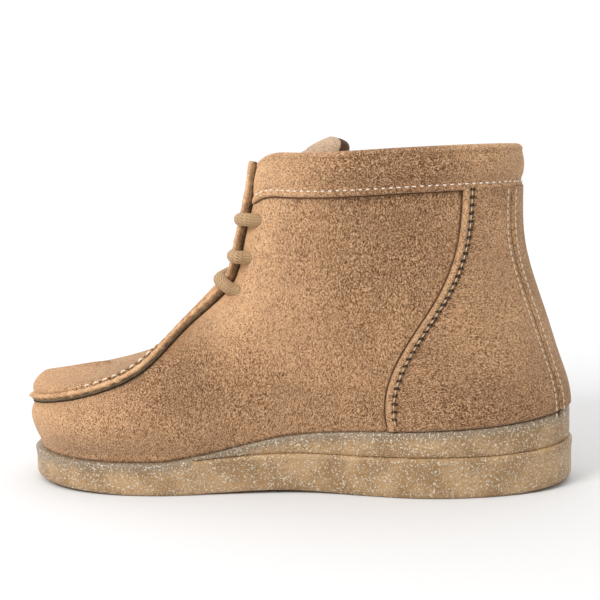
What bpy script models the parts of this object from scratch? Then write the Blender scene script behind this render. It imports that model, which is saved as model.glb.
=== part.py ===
"""Suede ankle boot of moccasin build, for the right foot, on a crepe wedge sole.

+X runs forward to the toe, +Y to the wearer's left, which is the inner side of this right
boot, and +Z up. The origin is on the floor, under the flat of the heel.
Sizes are in metres. Tables hold shares of the named sizes that they follow.
"""

import bmesh
import bpy
import numpy as np

# Driving sizes of the boot
LENGTH = 0.274
HEEL_SEAT = 0.25
BALL_WIDTH = 0.100
COLLAR_HEIGHT = 0.165
WALL = 0.0024
GAP = 0.0003

# Sole
OUTSOLE_TOE = 0.0145
OUTSOLE_BALL = 0.0160
OUTSOLE_WAIST = 0.0190
OUTSOLE_HEEL = 0.0200
WEDGE_HEEL = 0.0160
WEDGE_FRONT = 0.0012
TOE_SPRING = 0.0034
TOE_SPRING_START = 0.72
HEEL_LIFT = 0.0030
HEEL_LIFT_END = 0.16
ARCH = 0.0015
ARCH_START = 0.35
ARCH_END = 0.71
OUTSOLE_OUT = 0.0028
WEDGE_OUT = 0.0018
EDGE_ROUND = 0.0012
INSOLE_THICK = 0.0030

# Pieces laid on the upper: thicknesses and reaches in metres, HEEL_RADIUS and APRON_FOCUS as
# shares of BALL_WIDTH, the pad's ends as shares of BAND_HEIGHT, and BAND_END in degrees
PANEL = 0.0015
PANEL_LIFT = 0.00045
STRAP_PROUD = 0.0006
HEEL_RADIUS = 0.25
BAND_HEIGHT = 0.0182
BAND_INSIDE = 0.0140
BAND_PAD = 0.0008
BAND_PAD_FOOT = 0.80
BAND_PAD_TOP = 0.25
BAND_END = 7.0
STRAP_TOP_HALF = 0.0150
STRAP_FOOT_HALF = 0.0195
LIP_REACH_TOE = 0.0034
LIP_REACH_FLAP = 0.0028
LIP_THICK = 0.0024
LIP_LEAN = 0.0007
LIP_INSET = 0.0005
LIP_LIFT = 0.0008
APRON_RIM_TOE = 0.0128
APRON_RIM_THROAT = 0.0045
APRON_SHOULDER = 0.0060
APRON_DISH = 0.0038
APRON_CROWN = 0.0020
APRON_FOCUS = 0.36
APRON_FAN = 1.15
TONGUE_THICK = 0.0022
TONGUE_CORNER_DROP = 0.0120

# Lacing
LACE = 0.0062
EYELET_RADIUS = 0.0027
EYELET_DEPTH = 0.0080

# Sections of the last by height: where each section starts and ends along the boot, as
# shares of LENGTH, and its radius at the back, half-widths and radius at the front, as
# shares of BALL_WIDTH. Heights are shares of COLLAR_HEIGHT.
LEVEL_COLUMNS = (
    "height", "back", "front", "back_round", "heel_corner", "heel", "waist", "ball_rear",
    "ball", "toe_side", "front_round",
)
LEVELS = (
    (0.12, 0.015, 0.996, 0.24, 0.272, 0.368, 0.360, 0.460, 0.470, 0.350, 0.32),
    (0.18, 0.006, 1.009, 0.26, 0.302, 0.393, 0.393, 0.500, 0.510, 0.385, 0.34),
    (0.25, 0.004, 1.002, 0.26, 0.302, 0.395, 0.398, 0.500, 0.500, 0.360, 0.32),
    (0.30, 0.009, 0.956, 0.26, 0.300, 0.392, 0.396, 0.480, 0.485, 0.350, 0.32),
    (0.375, 0.024, 0.861, 0.25, 0.295, 0.370, 0.390, 0.430, 0.440, 0.355, 0.45),
    (0.485, 0.045, 0.745, 0.23, 0.260, 0.355, 0.380, 0.385, 0.360, 0.270, 0.25),
    (0.59, 0.066, 0.657, 0.21, 0.235, 0.330, 0.365, 0.355, 0.305, 0.185, 0.14),
    (0.73, 0.088, 0.619, 0.20, 0.220, 0.315, 0.360, 0.350, 0.290, 0.185, 0.14),
    (0.88, 0.092, 0.597, 0.20, 0.220, 0.315, 0.370, 0.365, 0.300, 0.185, 0.13),
    (1.02, 0.091, 0.584, 0.20, 0.225, 0.325, 0.385, 0.380, 0.310, 0.190, 0.13),
)
WIDTH_STATIONS = (0.10, 0.25, 0.45, 0.65, 0.80, 0.92)

# How far the middle line swings to the inner side, as a share of BALL_WIDTH, along the boot
SWING = ((0.0, 0.0), (0.15, 0.005), (0.30, 0.0), (0.50, -0.04), (0.70, -0.02), (0.88, 0.03), (1.0, 0.09))
SWING_FULL_BELOW = 0.30
SWING_GONE_ABOVE = 0.75

# Thickness of the outsole along the boot, in metres, and of the wedge on it as a share of
# WEDGE_HEEL, at shares of LENGTH
OUTSOLE = ((0.0, OUTSOLE_HEEL), (0.45, OUTSOLE_WAIST), (0.78, OUTSOLE_BALL), (1.0, OUTSOLE_TOE))
WEDGE = ((0.0, 1.0), (0.09, 0.92), (0.24, 0.80), (0.40, 0.70), (0.53, 0.45), (0.62, 0.20), (0.72, 0.0))

# The upper's front edge from the toe, up the apron's seam and the lacing edge, to the
# collar: place on the edge, height as a share of COLLAR_HEIGHT, and how many degrees it
# stands back from the boot's middle line
FRONT_EDGE = (
    (0.16, 0.250, 0.0), (0.24, 0.262, 17.0), (0.33, 0.288, 32.5), (0.43, 0.358, 40.5),
    (0.54, 0.485, 30.5), (0.64, 0.588, 24.0), (0.82, 0.770, 24.2), (1.00, 0.955, 25.3),
)
TOE_PLACE = FRONT_EDGE[0][0]
THROAT_PLACE = 0.64
COLLAR_LINE = ((0.0, 1.0), (0.45, 0.990), (0.70, 0.985), (0.80, 0.977), (0.86, 0.955))

# Counter's front edge: height and place along the boot, as shares
COUNTER_EDGE = (
    (0.16, 0.313), (0.22, 0.323), (0.33, 0.319), (0.45, 0.285), (0.58, 0.235), (0.72, 0.202),
    (0.88, 0.192),
)

# Tongue from its root under the apron to its tip: height as a share of COLLAR_HEIGHT, then
# as shares of BALL_WIDTH how far its face stands behind the upper's inner face and how far
# it leans back into the opening, and the degrees that it spans to each side
TONGUE = (
    (0.545, 0.008, 0.0, 42.0), (0.60, 0.038, 0.0, 42.0), (0.70, 0.045, 0.0, 42.0),
    (0.77, 0.042, 0.020, 43.0), (0.84, 0.040, 0.075, 45.0), (0.93, 0.030, 0.170, 50.0),
    (1.055, 0.025, 0.300, 57.0),
)

# Lacing rows: height as a share of COLLAR_HEIGHT, how many degrees the eyelets stand back
# from the boot's middle line, and how far the bar between them bows up, share of LACE
LACING = (("lower", 0.593, 36.8, 1.2), ("middle", 0.693, 35.8, 0.35), ("upper", 0.805, 38.3, 0.0))

# Finishes: slot, colour and roughness
SUEDE = ("suede", (0.52, 0.34, 0.20), 0.9)
SUEDE_TRIM = ("suede_trim", (0.40, 0.26, 0.15), 0.9)
CREPE = ("crepe", (0.60, 0.45, 0.27), 0.55)
LACE_BRAID = ("lace", (0.50, 0.38, 0.22), 0.8)
LINING = ("lining", (0.45, 0.36, 0.27), 0.85)

# Divisions of the upper's skin
SIDE_COLUMNS = 24
TOE_ROWS = 4
SEAM_COLUMNS = 11
FLAP_ROWS = 6


def spline_weights(knots, places, level_ends=False):
    """Share of each knot's value in a cubic spline through the knots, read at the places."""
    knots = np.asarray(knots, float)
    count = len(knots)
    step = np.diff(knots)
    left = np.eye(count)
    right = np.zeros((count, count))
    for i in range(1, count - 1):
        left[i, i - 1 : i + 2] = step[i - 1], 2 * (step[i - 1] + step[i]), step[i]
        right[i, i - 1 : i + 2] = 6 / step[i - 1], -6 / step[i - 1] - 6 / step[i], 6 / step[i]
    if level_ends:
        left[0, :2] = 2 * step[0], step[0]
        right[0, :2] = -6 / step[0], 6 / step[0]
        left[-1, -2:] = step[-1], 2 * step[-1]
        right[-1, -2:] = 6 / step[-1], -6 / step[-1]
    bend = np.linalg.solve(left, right)
    places = np.clip(np.asarray(places, float), knots[0], knots[-1])
    i = np.clip(np.searchsorted(knots, places, side="right") - 1, 0, count - 2)
    width = step[i]
    low = ((knots[i + 1] - places) / width)[..., None]
    high = 1 - low
    one = np.eye(count)
    curve = (low**3 - low) * bend[i] + (high**3 - high) * bend[i + 1]
    return low * one[i] + high * one[i + 1] + curve * (width**2 / 6)[..., None]


def read_table(rows, places, column=1, level_ends=False):
    """Smooth value of one column of a table whose first column is the place."""
    table = np.array(rows, float)
    return spline_weights(table[:, 0], places, level_ends) @ table[:, column]


def level_column(name):
    return np.array([row[LEVEL_COLUMNS.index(name)] for row in LEVELS])


def smooth_step(low, high, value):
    share = np.clip((value - low) / (high - low), 0, 1)
    return share * share * (3 - 2 * share)


def along(share):
    """X of a place along the boot, from its share of the length, heel back 0 and toe tip 1."""
    return (share - HEEL_SEAT) * LENGTH


def share_along(x):
    """Share of the length at a place along the boot."""
    return x / LENGTH + HEEL_SEAT


def middle_line(x, height):
    """Y of the boot's middle line, which swings to the inner side low down at the toe."""
    fade = 1 - smooth_step(SWING_FULL_BELOW, SWING_GONE_ABOVE, height / COLLAR_HEIGHT)
    return read_table(SWING, share_along(x)) * BALL_WIDTH * fade


def last(angle, height):
    """Point on the outside of the last. The angle is 0 at the heel back and pi at the toe,
    positive on the inner side, and the height is in metres. Each level is a closed loop."""
    angle, height = np.broadcast_arrays(np.asarray(angle, float), np.asarray(height, float))
    levels = spline_weights(level_column("height"), height / COLLAR_HEIGHT)
    back = along(levels @ level_column("back"))
    reach = along(levels @ level_column("front")) - back
    station = np.sin(angle / 2) ** 2
    knots = 2 * np.arcsin(np.sqrt(np.array(WIDTH_STATIONS)))
    widths = np.array([row[LEVEL_COLUMNS.index("heel_corner") : -1] for row in LEVELS])
    stations = np.array(WIDTH_STATIONS)
    fullness = widths / np.sqrt(stations * (1 - stations))
    spans = (level_column("front") - level_column("back")) * LENGTH / BALL_WIDTH
    ends = [np.sqrt(2 * level_column(name) * spans) for name in ("back_round", "front_round")]
    fullness = np.column_stack([ends[0], fullness, ends[1]])
    turn = np.pi - np.abs(np.pi - np.abs(angle))
    around = spline_weights([0, *knots, np.pi], turn, level_ends=True)
    full = np.einsum("...i,ij,...j->...", levels, fullness, around) * BALL_WIDTH
    x = back + station * reach
    return np.stack([x, middle_line(x, height) + np.sin(angle) / 2 * full, height], -1)


def on_last(angle, height, out=0.0):
    """Point at a distance outside the last, along the last's own outward direction."""
    angle, height = np.broadcast_arrays(np.asarray(angle, float), np.asarray(height, float))
    step = 1e-4
    side = last(angle + step, height) - last(angle - step, height)
    rise = last(angle, height + step) - last(angle, height - step)
    normal = np.cross(rise, side)
    normal /= np.linalg.norm(normal, axis=-1, keepdims=True)
    return last(angle, height) + normal * np.asarray(out)[..., None]


def floor_lift(x):
    """Height of the sole's underside: flat under the heel and ball, with an arch between
    them, and a little spring at the toe and heel."""
    share = share_along(x)
    toe = np.clip((share - TOE_SPRING_START) / (1 - TOE_SPRING_START), 0, None)
    heel = np.clip((HEEL_LIFT_END - share) / HEEL_LIFT_END, 0, None)
    arch = np.clip((share - ARCH_START) / (ARCH_END - ARCH_START), 0, 1)
    return toe**2 * TOE_SPRING + heel**2 * HEEL_LIFT + np.sin(np.pi * arch) ** 2 * ARCH


def outsole_top(x):
    """Height of the outsole's upper face."""
    return floor_lift(x) + read_table(OUTSOLE, share_along(x))


def feather(x):
    """Height of the sole's upper edge, where the upper starts: outsole, then wedge."""
    wedge = np.clip(read_table(WEDGE, share_along(x)), 0, None)
    return outsole_top(x) + WEDGE_HEEL * wedge


def foot(angle):
    """Height of the sole's upper edge under an angle round the last."""
    height = np.full(np.shape(angle), LEVELS[0][0] * COLLAR_HEIGHT)
    for _ in range(3):
        height = feather(last(angle, height)[..., 0])
    return height


def collar(angle):
    """Height of the upper's top edge at an angle round the last."""
    return read_table(COLLAR_LINE, np.abs(angle) / np.pi, level_ends=True) * COLLAR_HEIGHT


def side_angle(place, height):
    """Angle round the last at which a height passes a place along the boot."""
    levels = spline_weights(level_column("height"), height / COLLAR_HEIGHT)
    back, front = levels @ level_column("back"), levels @ level_column("front")
    return 2 * np.arcsin(np.sqrt(np.clip((place - back) / (front - back), 0, 1)))


def strap_angle(height, half_width):
    """Angle round the last that is half the strap's width from the heel's middle."""
    turns = np.linspace(0, 1.4, 60)
    path = last(turns[None, :], np.asarray(height)[:, None])
    steps = np.linalg.norm(np.diff(path, axis=1), axis=-1)
    run = np.concatenate([np.zeros((len(path), 1)), np.cumsum(steps, 1)], 1)
    return np.array([np.interp(w, r, turns) for w, r in zip(half_width, run)])


def front_edge(place):
    """Height and setback angle of the upper's front edge, from the feather at place 0."""
    place = np.asarray(place, float)
    toe_height = FRONT_EDGE[0][1] * COLLAR_HEIGHT
    low = feather(along(1.0))
    height = read_table(FRONT_EDGE, place, 1) * COLLAR_HEIGHT
    setback = np.radians(read_table(FRONT_EDGE, place, 2))
    below = place < TOE_PLACE
    height = np.where(below, low + (toe_height - low) * place / TOE_PLACE, height)
    return height, np.where(below, 0.0, setback)


def wall(around, up):
    """Point on the outside of the upper's wall. around is 0 at the heel back, 1 at the
    front edge of the inner side and -1 at that of the outer side; up is 0 at the sole
    and 1 at the collar. Rows rise from the sole, and fan into the seam at the toe."""
    around, up = np.broadcast_arrays(np.asarray(around, float), np.asarray(up, float))
    away = np.abs(around)
    edge_height, setback = front_edge(up)
    angle = np.sign(around) * (np.pi * away - setback * away**3)
    low = foot(np.pi * away)
    high = collar(np.pi * away - front_edge(1.0)[1] * away**3)
    edge_low = front_edge(0.0)[0]
    edge_high = front_edge(1.0)[0]
    edge_share = (edge_height - edge_low) / (edge_high - edge_low)
    blend = away**1.5
    share = up * (1 - blend) + edge_share * blend
    return last(angle, low + (high - low) * share)


def wall_normal(around, up):
    """Outward direction of the wall, from its slopes."""
    around, up = np.broadcast_arrays(np.asarray(around, float), np.asarray(up, float))
    step = 1e-4
    side = wall(np.clip(around + step, -1, 1), up) - wall(np.clip(around - step, -1, 1), up)
    rise = wall(around, np.clip(up + step, 0, 1)) - wall(around, np.clip(up - step, 0, 1))
    normal = np.cross(rise, side)
    return normal / np.linalg.norm(normal, axis=-1, keepdims=True)


def apron_rows(place):
    """Seam point, spine point and rim height of the apron at each place along its U, from
    -1 at the outer throat, over 0 at the toe, to 1 at the inner throat."""
    away = np.abs(place)
    up = TOE_PLACE + (THROAT_PLACE - TOE_PLACE) * away
    seam = wall(np.where(place < 0, -1.0, 1.0), up)
    throat, toe = wall(1.0, THROAT_PLACE), wall(1.0, TOE_PLACE)
    focus = toe[0] - APRON_FOCUS * BALL_WIDTH
    spine_x = focus + (throat[0] - focus) * away**APRON_FAN
    rim = APRON_RIM_TOE + (APRON_RIM_THROAT - APRON_RIM_TOE) * away
    side = wall(1.0, np.linspace(THROAT_PLACE, TOE_PLACE, 60))
    seam_height = np.interp(spine_x, side[:, 0], side[:, 2])
    # The dish behind the toe turns into a low crown on the way to the throat.
    crown = -APRON_DISH + (APRON_DISH + APRON_CROWN) * smooth_step(0.3, 0.9, away)
    spine_y = middle_line(spine_x, seam_height)
    spine = np.stack([spine_x, spine_y, seam_height + rim + crown], -1)
    return seam, spine, rim


def apron_grid(columns):
    """Grid over the apron, from its seam to its spine: a rolled shoulder, then a dish."""
    place = np.linspace(-1, 1, 2 * columns + 1)
    seam, spine, rim = apron_rows(place)
    run = np.linalg.norm((spine - seam)[:, :2], axis=-1)
    shoulder = np.array([0.0, 0.06, 0.22, 0.5, 1.0]) * APRON_SHOULDER
    rest = np.linspace(0, 1, 4)[1:]
    reach = np.minimum(APRON_SHOULDER, run * 0.8)
    inset = np.concatenate(
        [
            shoulder[None, :] * (reach / APRON_SHOULDER)[:, None],
            reach[:, None] + (run - reach)[:, None] * rest[None, :],
        ],
        1,
    )
    share = inset / run[:, None]
    flat = seam[:, None, :2] + (spine - seam)[:, None, :2] * share[..., None]
    rise = np.sqrt(1 - np.clip(1 - inset / reach[:, None], 0, 1) ** 2)
    blend = share * share * (3 - 2 * share)
    base = seam[:, 2, None] * (1 - blend) + (spine[:, 2] - rim)[:, None] * blend
    height = base + rim[:, None] * rise
    return np.concatenate([flat, height[..., None]], -1)


def grid_faces(columns, rows, start=0, flip=False):
    """Quads of a grid of points whose rows run fastest."""
    faces = []
    for i in range(columns - 1):
        for j in range(rows - 1):
            a = start + i * rows + j
            quad = [a, a + rows, a + rows + 1, a + 1]
            faces.append(quad[::-1] if flip else quad)
    return faces


def material(name, colour, roughness):
    """A plain finish for one kind of material."""
    made = bpy.data.materials.get(name)
    if made is None:
        made = bpy.data.materials.new(name)
        made.use_nodes = True
        shader = made.node_tree.nodes["Principled BSDF"]
        shader.inputs["Base Color"].default_value = (*colour, 1)
        shader.inputs["Roughness"].default_value = roughness
        shader.inputs["Metallic"].default_value = 0
    return made


def add_object(name, points, faces, finish):
    """One named object from points and faces, with points that coincide merged."""
    mesh = bpy.data.meshes.new(name)
    mesh.from_pydata([tuple(p) for p in np.asarray(points).reshape(-1, 3)], [], faces)
    form = bmesh.new()
    form.from_mesh(mesh)
    bmesh.ops.remove_doubles(form, verts=form.verts, dist=2e-6)
    bmesh.ops.dissolve_degenerate(form, edges=form.edges, dist=1e-7)
    form.to_mesh(mesh)
    form.free()
    mesh.shade_smooth()
    made = bpy.data.objects.new(name, mesh)
    made.data.materials.append(material(*finish))
    bpy.context.scene.collection.objects.link(made)
    return made


def point_out(made):
    """Turns the faces of a closed object outwards."""
    form = bmesh.new()
    form.from_mesh(made.data)
    bmesh.ops.recalc_face_normals(form, faces=form.faces)
    form.to_mesh(made.data)
    form.free()
    return made


def add_slab(name, rings, finish):
    """A closed slab from rings of equal count, bottom first, each running from its outer
    front round the back to its inner front. Rungs across the boot close both faces."""
    count = len(rings[0])
    points = np.concatenate(rings)
    faces = []
    for k in range(len(rings) - 1):
        for i in range(count):
            j = (i + 1) % count
            low, high = k * count, (k + 1) * count
            faces.append([low + i, low + j, high + j, high + i])
    top = (len(rings) - 1) * count
    for i in range(count // 2):
        rung = [i, i + 1, count - 2 - i, count - 1 - i]
        rung = rung if rung[1] != rung[2] else [rung[0], rung[1], rung[3]]
        faces.append([top + k for k in rung])
        faces.append(rung[::-1])
    return point_out(add_object(name, points, faces, finish))


def add_sheet(name, inside, outside, finish):
    """A closed sheet between two grids of points, the inside one first."""
    columns, rows = inside.shape[:2]
    points = np.concatenate([inside.reshape(-1, 3), outside.reshape(-1, 3)])
    lift = columns * rows
    faces = grid_faces(columns, rows) + grid_faces(columns, rows, lift, flip=True)
    border = [i * rows for i in range(columns)]
    border += [(columns - 1) * rows + j for j in range(1, rows)]
    border += [i * rows + rows - 1 for i in range(columns - 2, -1, -1)]
    border += [j for j in range(rows - 2, 0, -1)]
    for a, b in zip(border, border[1:] + border[:1]):
        faces.append([a, b, b + lift, a + lift])
    return point_out(add_object(name, points, faces, finish))


def add_sweep(name, sections, finish):
    """A closed solid through a run of like sections, each a closed polygon of points."""
    columns, rows = sections.shape[:2]
    faces = []
    for i in range(columns - 1):
        for j in range(rows):
            k = (j + 1) % rows
            faces.append([i * rows + j, i * rows + k, (i + 1) * rows + k, (i + 1) * rows + j])
    faces.append(list(range(rows))[::-1])
    faces.append([(columns - 1) * rows + j for j in range(rows)])
    return point_out(add_object(name, sections, faces, finish))


def sole_ring(around, out, height):
    """A ring round the sole: the upper's bottom edge, set out in plan, at a height that is
    given for each place along the boot. The ends of a whole ring meet at the toe."""
    edge = wall(around, 0.0)
    normal = wall_normal(around, 0.0)
    normal[:, 2] = 0
    normal /= np.linalg.norm(normal, axis=-1, keepdims=True)
    ring = edge + normal * out
    ring[:, 2] = height(ring[:, 0]) if callable(height) else height
    if around[0] == -1 and around[-1] == 1:
        ring[[0, -1]] = (ring[0] + ring[-1]) / 2
    return ring


def build_sole():
    """Outsole of crepe, the wedge on it from the heel to the waist, and the insole."""
    around = np.linspace(-1, 1, 2 * SIDE_COLUMNS + 1)
    x = wall(around, 0.0)[:, 0]
    under_wedge = feather(x) - outsole_top(x) > WEDGE_FRONT + GAP
    top = np.where(under_wedge, outsole_top(x), feather(x)) - GAP
    rings = [
        sole_ring(around, OUTSOLE_OUT - EDGE_ROUND, floor_lift(x)),
        sole_ring(around, OUTSOLE_OUT, floor_lift(x) + EDGE_ROUND),
        sole_ring(around, OUTSOLE_OUT, top - EDGE_ROUND),
        sole_ring(around, OUTSOLE_OUT - EDGE_ROUND, top),
    ]
    add_slab("outsole", rings, CREPE)
    around, x = around[under_wedge], x[under_wedge]
    rings = [
        sole_ring(around, WEDGE_OUT, outsole_top(x)),
        sole_ring(around, WEDGE_OUT, feather(x) - GAP),
    ]
    add_slab("wedge_midsole", rings, CREPE)


def build_insole():
    """Footbed on the sole inside the upper."""
    around = np.linspace(-1, 1, 2 * SIDE_COLUMNS + 1)
    x = wall(around, 0.0)[:, 0]
    inset = -(WALL + 2 * GAP)
    rings = [
        sole_ring(around, inset, feather(x)),
        sole_ring(around, inset, feather(x) + INSOLE_THICK),
    ]
    add_slab("insole", rings, LINING)


def build_upper():
    """The upper: wall and apron as one skin, thickened inwards and pierced for the lace."""
    around = np.linspace(-1, 1, 2 * SIDE_COLUMNS + 1)
    up = np.concatenate(
        [
            np.linspace(0, TOE_PLACE, TOE_ROWS + 1),
            np.linspace(TOE_PLACE, THROAT_PLACE, SEAM_COLUMNS + 1)[1:],
            np.linspace(THROAT_PLACE, 1, FLAP_ROWS + 1)[1:],
        ]
    )
    skin = wall(around[:, None], up[None, :])
    wall_faces = grid_faces(len(around), len(up), flip=True)
    top = apron_grid(SEAM_COLUMNS)
    faces = wall_faces + grid_faces(*top.shape[:2], start=skin.shape[0] * skin.shape[1])
    points = np.concatenate([skin.reshape(-1, 3), top.reshape(-1, 3)])
    upper = add_object("upper", points, faces, SUEDE)
    form = bmesh.new()
    form.from_mesh(upper.data)
    bmesh.ops.triangulate(form, faces=form.faces, quad_method="SHORT_EDGE")
    form.to_mesh(upper.data)
    form.free()
    thicken = upper.modifiers.new("wall", "SOLIDIFY")
    thicken.thickness = WALL
    thicken.offset = -1
    pierce = upper.modifiers.new("eyelets", "BOOLEAN")
    pierce.object = eyelet_cutter()
    pierce.solver = "EXACT"
    return upper


def eyelet_cutter():
    """Six short pins through the flaps, which punch the lace holes."""
    pins = []
    turn = np.linspace(0, 2 * np.pi, 12, endpoint=False)
    for _, height, setback, _ in LACING:
        for side in (-1, 1):
            angle = side * (np.pi - np.radians(setback))
            outer = on_last(angle, height * COLLAR_HEIGHT, EYELET_DEPTH / 2)
            inner = on_last(angle, height * COLLAR_HEIGHT, -EYELET_DEPTH / 2 - WALL)
            along_pin = (outer - inner) / np.linalg.norm(outer - inner)
            level = np.cross(along_pin, (0, 0, 1))
            level /= np.linalg.norm(level)
            rise = np.cross(level, along_pin)
            rim = level * np.cos(turn)[:, None] + rise * np.sin(turn)[:, None]
            pins.append(np.stack([inner + rim * EYELET_RADIUS, outer + rim * EYELET_RADIUS]))
    count = len(turn)
    faces = []
    for k in range(len(pins)):
        base = 2 * count * k
        for i in range(count):
            j = (i + 1) % count
            faces.append([base + i, base + j, base + count + j, base + count + i])
        faces.append([base + i for i in range(count)][::-1])
        faces.append([base + count + i for i in range(count)])
    cutter = point_out(add_object("eyelet_cutter", pins, faces, SUEDE))
    cutter.hide_render = True
    cutter.display_type = "WIRE"
    return cutter


def band_foot(angle):
    """Height of the collar band's lower edge."""
    return collar(angle) - BAND_HEIGHT


def rear_grid(near, far, rows, columns):
    """Angles and heights over the rear of the wall, between two edges that are given as
    functions of height, and from the sole to the collar band."""
    share = np.linspace(0, 1, rows)
    edges = []
    for edge in (near, far):
        angle = np.full(rows, 0.6)
        for _ in range(8):
            low, high = foot(angle) + GAP, band_foot(angle) - GAP
            angle = edge(low + (high - low) * share)
        edges.append(angle)
    across = np.linspace(0, 1, columns)[:, None]
    angle = edges[0] + (edges[1] - edges[0]) * across
    low, high = foot(angle) + GAP, band_foot(angle) - GAP
    return angle, low + (high - low) * share


def strap_edge(height):
    """Angle of the back strap's edge, which spreads towards the sole."""
    share = np.clip(height / COLLAR_HEIGHT, 0, 1)
    return strap_angle(height, STRAP_FOOT_HALF + (STRAP_TOP_HALF - STRAP_FOOT_HALF) * share)


def build_rear_panels():
    """A counter on each side of the heel and the strap over the seam between them."""
    gap_turn = GAP / (HEEL_RADIUS * BALL_WIDTH)
    front = lambda height: side_angle(read_table(COUNTER_EDGE, height / COLLAR_HEIGHT), height)
    angle, height = rear_grid(lambda h: strap_edge(h) + gap_turn, front, 12, 12)
    for name, side in (("inner_counter", 1), ("outer_counter", -1)):
        low = on_last(side * angle, height, np.full(angle.shape, PANEL_LIFT))
        high = on_last(side * angle, height, np.full(angle.shape, PANEL_LIFT + PANEL))
        add_sheet(name, low, high, SUEDE_TRIM)
    angle, height = rear_grid(lambda h: -strap_edge(h), strap_edge, 13, 7)
    low = on_last(angle, height, np.full(angle.shape, PANEL_LIFT))
    high = on_last(angle, height, np.full(angle.shape, PANEL_LIFT + PANEL + STRAP_PROUD))
    add_sheet("back_strap", low, high, SUEDE_TRIM)


def build_collar_band():
    """The band folded over the collar, with a soft pad in it on the outside."""
    end = np.pi - np.radians(FRONT_EDGE[-1][2] + BAND_END)
    angle = np.linspace(-end, end, 37)
    top = collar(angle)
    outside, inside = GAP + PANEL, -(WALL + GAP + PANEL)
    turn = np.radians([30, 60, 90, 120, 150])
    crown_out, crown_in = WALL / 2 + outside, WALL / 2 + GAP
    chain = [(outside, -BAND_HEIGHT), (outside + BAND_PAD, -BAND_PAD_FOOT * BAND_HEIGHT)]
    chain += [(outside + BAND_PAD, -BAND_PAD_TOP * BAND_HEIGHT), (outside, 0.0)]
    chain += [(crown_out * np.cos(a) - WALL / 2, crown_out * np.sin(a)) for a in turn]
    chain += [(inside, 0.0), (inside, -BAND_INSIDE)]
    chain += [(inside + PANEL, -BAND_INSIDE), (inside + PANEL, 0.0)]
    chain += [(crown_in * np.cos(a) - WALL / 2, crown_in * np.sin(a)) for a in turn[::-2]]
    chain += [(GAP, 0.0), (GAP, -BAND_HEIGHT / 2), (GAP, -BAND_HEIGHT)]
    sections = []
    for out, rise in chain:
        point = on_last(angle, top + min(rise, 0.0), np.full(angle.shape, out))
        point[:, 2] += max(rise, 0.0)
        sections.append(point)
    add_sweep("collar_band", np.stack(sections, 1), SUEDE_TRIM)


def build_raised_seam():
    """The lip that the wall's edge turns up, round the apron and up both lacing edges."""
    path = np.linspace(-1, 1, 67)
    away = np.abs(path)
    height, setback = front_edge(TOE_PLACE + (1 - TOE_PLACE) * away)
    angle = np.where(path < 0, -1, 1) * (np.pi - setback)
    edge = last(angle, height)
    out = on_last(angle, height, 1.0) - edge
    tangent = np.gradient(edge, axis=0)
    tangent /= np.linalg.norm(tangent, axis=-1, keepdims=True)
    back = np.cross(tangent, out)
    back /= np.linalg.norm(back, axis=-1, keepdims=True)
    throat = (THROAT_PLACE - TOE_PLACE) / (1 - TOE_PLACE)
    reach = LIP_REACH_TOE + (LIP_REACH_FLAP - LIP_REACH_TOE) * smooth_step(0.5 * throat, throat, away)
    near, far = LIP_INSET, LIP_INSET + LIP_THICK
    chain = [(near, 0.0), (far, 0.0), (far, 0.45), (far + LIP_LEAN, 0.85)]
    chain += [((near + far) / 2 + LIP_LEAN, 1.0), (near + LIP_LEAN, 0.85), (near, 0.45)]
    sections = []
    for inset, share in chain:
        lift = (LIP_LIFT + (reach - LIP_LIFT) * share)[:, None]
        sections.append(edge + back * inset + out * lift)
    add_sweep("raised_seam", np.stack(sections, 1), SUEDE_TRIM)


def build_tongue():
    """The tongue, rooted under the apron, behind both flaps and leaning back at its tip."""
    across = np.linspace(-1, 1, 15)[:, None]
    low, tip = TONGUE[0][0] * COLLAR_HEIGHT, TONGUE[-1][0] * COLLAR_HEIGHT
    high = tip - TONGUE_CORNER_DROP * np.abs(across) ** 3
    height = low + (high - low) * np.linspace(0, 1, 13)
    share = height / COLLAR_HEIGHT
    inset = WALL + read_table(TONGUE, share, 1) * BALL_WIDTH
    lean = read_table(TONGUE, share, 2) * BALL_WIDTH
    turn = np.radians(read_table(TONGUE, share, 3)) * across
    angle = np.where(turn < 0, -1, 1) * (np.pi - np.abs(turn))
    faces = []
    for depth in (inset + TONGUE_THICK, inset):
        face = on_last(angle, height, -depth)
        face[..., 0] -= lean
        faces.append(face)
    add_sheet("tongue", faces[0], faces[1], SUEDE)


def build_lace():
    """The lace where it shows: three bars, each from over one eyelet to the other."""
    turn = np.linspace(0, 2 * np.pi, 8, endpoint=False)
    lip = LIP_REACH_FLAP + GAP + LACE / 2
    for name, height, setback, bow in LACING:
        level = height * COLLAR_HEIGHT
        edge = np.interp(height, [row[1] for row in FRONT_EDGE], [row[2] for row in FRONT_EDGE])
        stops = [
            on_last(np.pi - np.radians(setback), level, LACE / 2 + 6 * GAP),
            on_last(np.pi - np.radians((setback + edge) / 2), level, LACE / 2 + 12 * GAP),
            on_last(np.pi - np.radians(edge), level, lip),
        ]
        lift = np.array([0.0, 0.35, 0.75])[:, None] * (0, 0, bow * LACE)
        near = np.array(stops) + lift
        middle = near[-1] * (1, 0, 1) + (LACE / 4, 0, 0.25 * bow * LACE)
        far = near[::-1] * (1, -1, 1)
        knots = np.vstack([near, middle, far])
        path = spline_weights(np.arange(7.0), np.linspace(0, 6, 19)) @ knots
        tangent = np.gradient(path, axis=0)
        tangent /= np.linalg.norm(tangent, axis=-1, keepdims=True)
        rise = np.cross(np.cross(tangent, (0, 0, 1)), tangent)
        rise /= np.linalg.norm(rise, axis=-1, keepdims=True)
        side = np.cross(tangent, rise)
        ring = rise[:, None] * np.cos(turn)[:, None] + side[:, None] * np.sin(turn)[:, None]
        add_sweep(f"{name}_lace_bar", path[:, None] + ring * LACE / 2, LACE_BRAID)


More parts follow.
